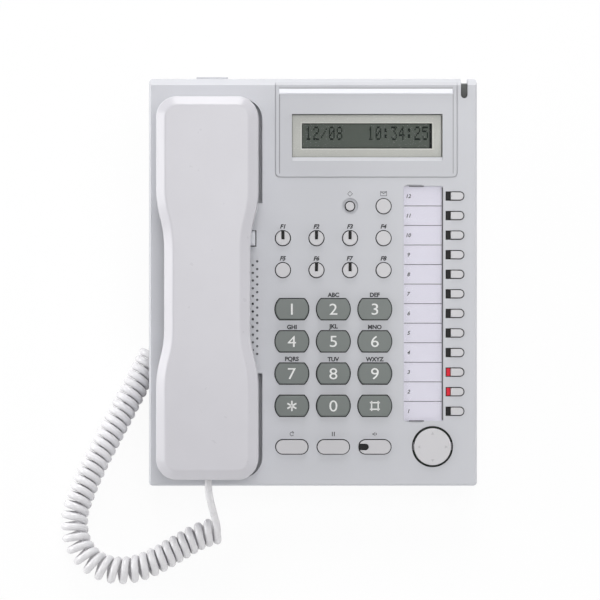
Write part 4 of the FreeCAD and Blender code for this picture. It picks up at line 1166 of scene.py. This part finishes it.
class PHONE_OT_label(Operator):
    """Paper card with its ruled rows and numbers under the clear cover"""

    bl_idname = "phone.label"
    bl_label = "Label strip"

    def execute(self, context):
        colours = context.scene.telephone_colours
        rework("label_card", "paper_card", "base", "card", paper("card_paper", colours.card), 0)
        rework("label_cover", "clear_cover", "cover", "cover",
               clear_plastic("cover_acetate", (0.85, 0.85, 0.87), 0.04), 0.15 * mm)
        w = card_top + print_lift
        rule_half = 0.2 * mm
        v = line_top_v - line_pitch / 2
        rule = flat_bar(label_left + 0.3 * mm, v - rule_half, label_right - 0.6 * mm, v + rule_half, w)
        rows = [shift(0.0, -row * line_pitch) for row in range(line_count - 1)]
        lay_down("card_rules", moved_copies(rule, rows), "base", "card", ink("rule_ink", (0.10, 0.10, 0.11)))
        # Painted shade: dark lines along the pocket's right edge and at the tab's front and rear ends, where
        # the cover's edges shade the face.
        side = 0.6 * mm
        end = 0.3 * mm
        lines = [(label_right - side, label_front + side, label_right + 0.1 * mm, label_rear - side)]
        lines += [(label_tab[0], v - end, label_tab[1], v + end) for v in (label_front, label_rear)]
        lay_down("label_frame_lines", flat_bars(print_lift, print_thickness, *lines), "base", "case",
                 ink("frame_line_painted_shade", (0.10, 0.10, 0.105)))
        numbers = []
        for number in range(1, line_count + 1):
            v = line_top_v - (line_count - number) * line_pitch
            numbers.append(lettering(str(number), label_left + 3.0 * mm, v, w, 2.2 * mm, 0.25, 0.08 * mm))
        lay_down("card_numbers", numbers, "base", "card", ink("number_ink", (0.04, 0.04, 0.045)))
        return {"FINISHED"}


class PHONE_OT_handset(Operator):
    """Handset shells with wide rounded edges"""

    bl_idname = "phone.handset"
    bl_label = "Handset"

    def execute(self, context):
        plastic = smooth_plastic("handset_plastic", context.scene.telephone_colours.handset, 0.30, 0.12)
        rework("handset_outer_shell", "handset_back", "handset", "handset", plastic, 3.4 * mm, 8, 20.0)
        rework("handset_inner_shell", "handset_front", "handset", "handset", plastic, 0.5 * mm, 3)
        return {"FINISHED"}


class PHONE_OT_markings(Operator):
    """Numerals on the dial keys and plain marks over the other keys"""

    bl_idname = "phone.markings"
    bl_label = "Markings"

    numeral_height = 6.8 * mm
    numeral_width = 1.14
    mark_height = 2.45 * mm
    mark_weight = 0.14 * mm
    mark_slant = 0.25
    letters_above = 8.3 * mm
    name_above = 6.8 * mm
    sign_line = 0.7 * mm

    def execute(self, context):
        colours = context.scene.telephone_colours
        white = ink("numeral_paint", colours.numeral, 0.35)
        dark = ink("case_print", colours.print_ink, 0.45)
        for place, mark in enumerate("1 2 3 4 5 6 7 8 9 star 0 hash".split()):
            u, v = self.dial_place(place)
            if mark == "star":
                pieces = self.star(u, v)
            elif mark == "hash":
                pieces = self.hash(u, v)
            else:
                pieces = [lettering(mark, u, v, dial_rise, self.numeral_height, wide=self.numeral_width)]
            lay_down("numeral_" + mark, pieces, "dial_key_" + mark, "key", white)
        marks = []
        for index, letters in enumerate("ABC DEF GHI JKL MNO PQRS TUV WXYZ".split()):
            u, v = self.dial_place(index + 1)
            marks.append(self.mark(letters, u, v + self.letters_above, 0.0))
        for index in range(8):
            u = function_u + index % 4 * function_pitch_u
            v = function_v - (index // 4 + 1) * function_pitch_v + self.name_above
            marks.append(self.mark("F%d" % (index + 1), u, v, self.mark_slant))
        lay_down("case_marks", marks + self.symbols(), "base", "case", dark)
        return {"FINISHED"}

    def dial_place(self, place):
        return dial_u + (place % 3 - 1) * dial_pitch_u, dial_v - place // 3 * dial_pitch_v

    def mark(self, text, u, v, slant):
        return lettering(text, u, v, print_lift, self.mark_height, slant, self.mark_weight)

    def star(self, u, v):
        half = 0.45 * mm
        reach = 3.0 * mm
        arm = flat_bar(-half, -reach, half, reach, dial_rise)
        return moved_copies(arm, [shift(u, v, 0.0, k * math.pi / 3) for k in range(3)])

    def hash(self, u, v):
        reach = 2.9 * mm
        off = 1.9 * mm
        half = 0.4 * mm
        bars = []
        for side in (-off, off):
            bars.append((u - reach, v + side - half, u + reach, v + side + half))
            bars.append((u + side - half, v - reach, u + side + half, v + reach))
        return flat_bars(dial_rise, print_thickness, *bars)

    def symbols(self):
        """Plain signs, in millimetres: envelope, diamond, round arrow, two bars and a loudspeaker."""
        top_v = function_v + 7.2 * mm
        low_v = oblong_v + 7.4 * mm
        message_u = function_u + 3 * function_pitch_u
        program_u = function_u + 2 * function_pitch_u
        left_u = dial_u - dial_pitch_u
        right_u = dial_u + dial_pitch_u
        a, b = 1.9, 1.25
        arc = [(b * math.cos(k * math.pi / 6), b * math.sin(k * math.pi / 6)) for k in range(2, 12)]
        cone = [(-1.3, -0.4), (-0.5, -0.4), (0.2, -b), (0.2, b), (-0.5, 0.4), (-1.3, 0.4)]
        drawn = (
            (message_u, top_v, True, [(-a, -b), (a, -b), (a, b), (-a, b)]),
            (message_u, top_v, False, [(-a, b), (0, -0.1), (a, b)]),
            (program_u, top_v, True, [(-b, 0), (0, b), (b, 0), (0, -b)]),
            (left_u, low_v, False, arc),
            (left_u, low_v, False, [(0.2, 1.4), (0.9, 0.8), (0.3, 0.1)]),
            (right_u, low_v, True, cone),
            (right_u, low_v, False, [(0.9, -0.7), (1.2, 0), (0.9, 0.7)]),
        )
        signs = []
        for u, v, closed, points in drawn:
            places = [(u + x * mm, v + y * mm) for x, y in points]
            signs.append(stroke(places, self.sign_line, print_lift, closed))
        for u in (dial_u - 0.6 * mm, dial_u + 0.6 * mm):
            signs.append(flat_bar(u - 0.25 * mm, low_v - b * mm, u + 0.25 * mm, low_v + b * mm, print_lift))
        return signs


class PHONE_OT_insides(Operator):
    """Finishes of the parts inside, which show through the openings, and of the plugs"""

    bl_idname = "phone.insides"
    bl_label = "Insides and plugs"

    def execute(self, context):
        finishes = {
            "main_board": circuit_board("board_lacquer"),
            "key_mat": rubber("mat_silicone", (0.42, 0.44, 0.44)),
            "loudspeaker": metal("speaker_steel", (0.12, 0.12, 0.13), 0.45),
            "handset_capsules": metal("capsule_tin", (0.45, 0.45, 0.46), 0.4),
            "handset_plug": clear_plastic("plug_clear", (0.80, 0.82, 0.85), 0.45, 0.1),
            "base_plug": clear_plastic("plug_clear_base", (0.80, 0.82, 0.85), 0.45, 0.1),
        }
        for node, material in finishes.items():
            mesh = frame["nodes"][node].data
            mesh.materials.clear()
            mesh.materials.append(material)
        return {"FINISHED"}


class PHONE_PT_panel(Panel):
    """Lists the telephone's pieces in the order they are made"""

    bl_label = "Desk Telephone"
    bl_idname = "PHONE_PT_panel"
    bl_space_type = "VIEW_3D"
    bl_region_type = "UI"
    bl_category = "Telephone"

    def draw(self, context):
        for step in STEPS:
            self.layout.operator(step.bl_idname)
        scene = context.scene
        for group in (scene.telephone_colours, scene.telephone_cord, scene.telephone_stage):
            box = self.layout.box()
            for name in group.__annotations__:
                box.prop(group, name)


STEPS = (PHONE_OT_stage, PHONE_OT_cord, PHONE_OT_case, PHONE_OT_display, PHONE_OT_keys, PHONE_OT_navigator,
         PHONE_OT_lamps, PHONE_OT_label, PHONE_OT_handset, PHONE_OT_markings, PHONE_OT_insides)
GROUPS = (TelephoneColours, TelephoneCord, TelephoneStage)


def register():
    for item in (*GROUPS, *STEPS, PHONE_PT_panel):
        bpy.utils.register_class(item)
    bpy.types.Scene.telephone_colours = PointerProperty(type=TelephoneColours)
    bpy.types.Scene.telephone_cord = PointerProperty(type=TelephoneCord)
    bpy.types.Scene.telephone_stage = PointerProperty(type=TelephoneStage)


def unregister():
    del bpy.types.Scene.telephone_stage
    del bpy.types.Scene.telephone_cord
    del bpy.types.Scene.telephone_colours
    for item in reversed((*GROUPS, *STEPS, PHONE_PT_panel)):
        bpy.utils.unregister_class(item)


def main():
    register()
    bpy.ops.phone.stage()
    bpy.ops.phone.curly_cord()
    bpy.ops.phone.case()
    bpy.ops.phone.display()
    bpy.ops.phone.keys()
    bpy.ops.phone.navigator()
    bpy.ops.phone.lamps()
    bpy.ops.phone.label()
    bpy.ops.phone.handset()
    bpy.ops.phone.markings()
    bpy.ops.phone.insides()


if __name__ == "__main__":
    main()
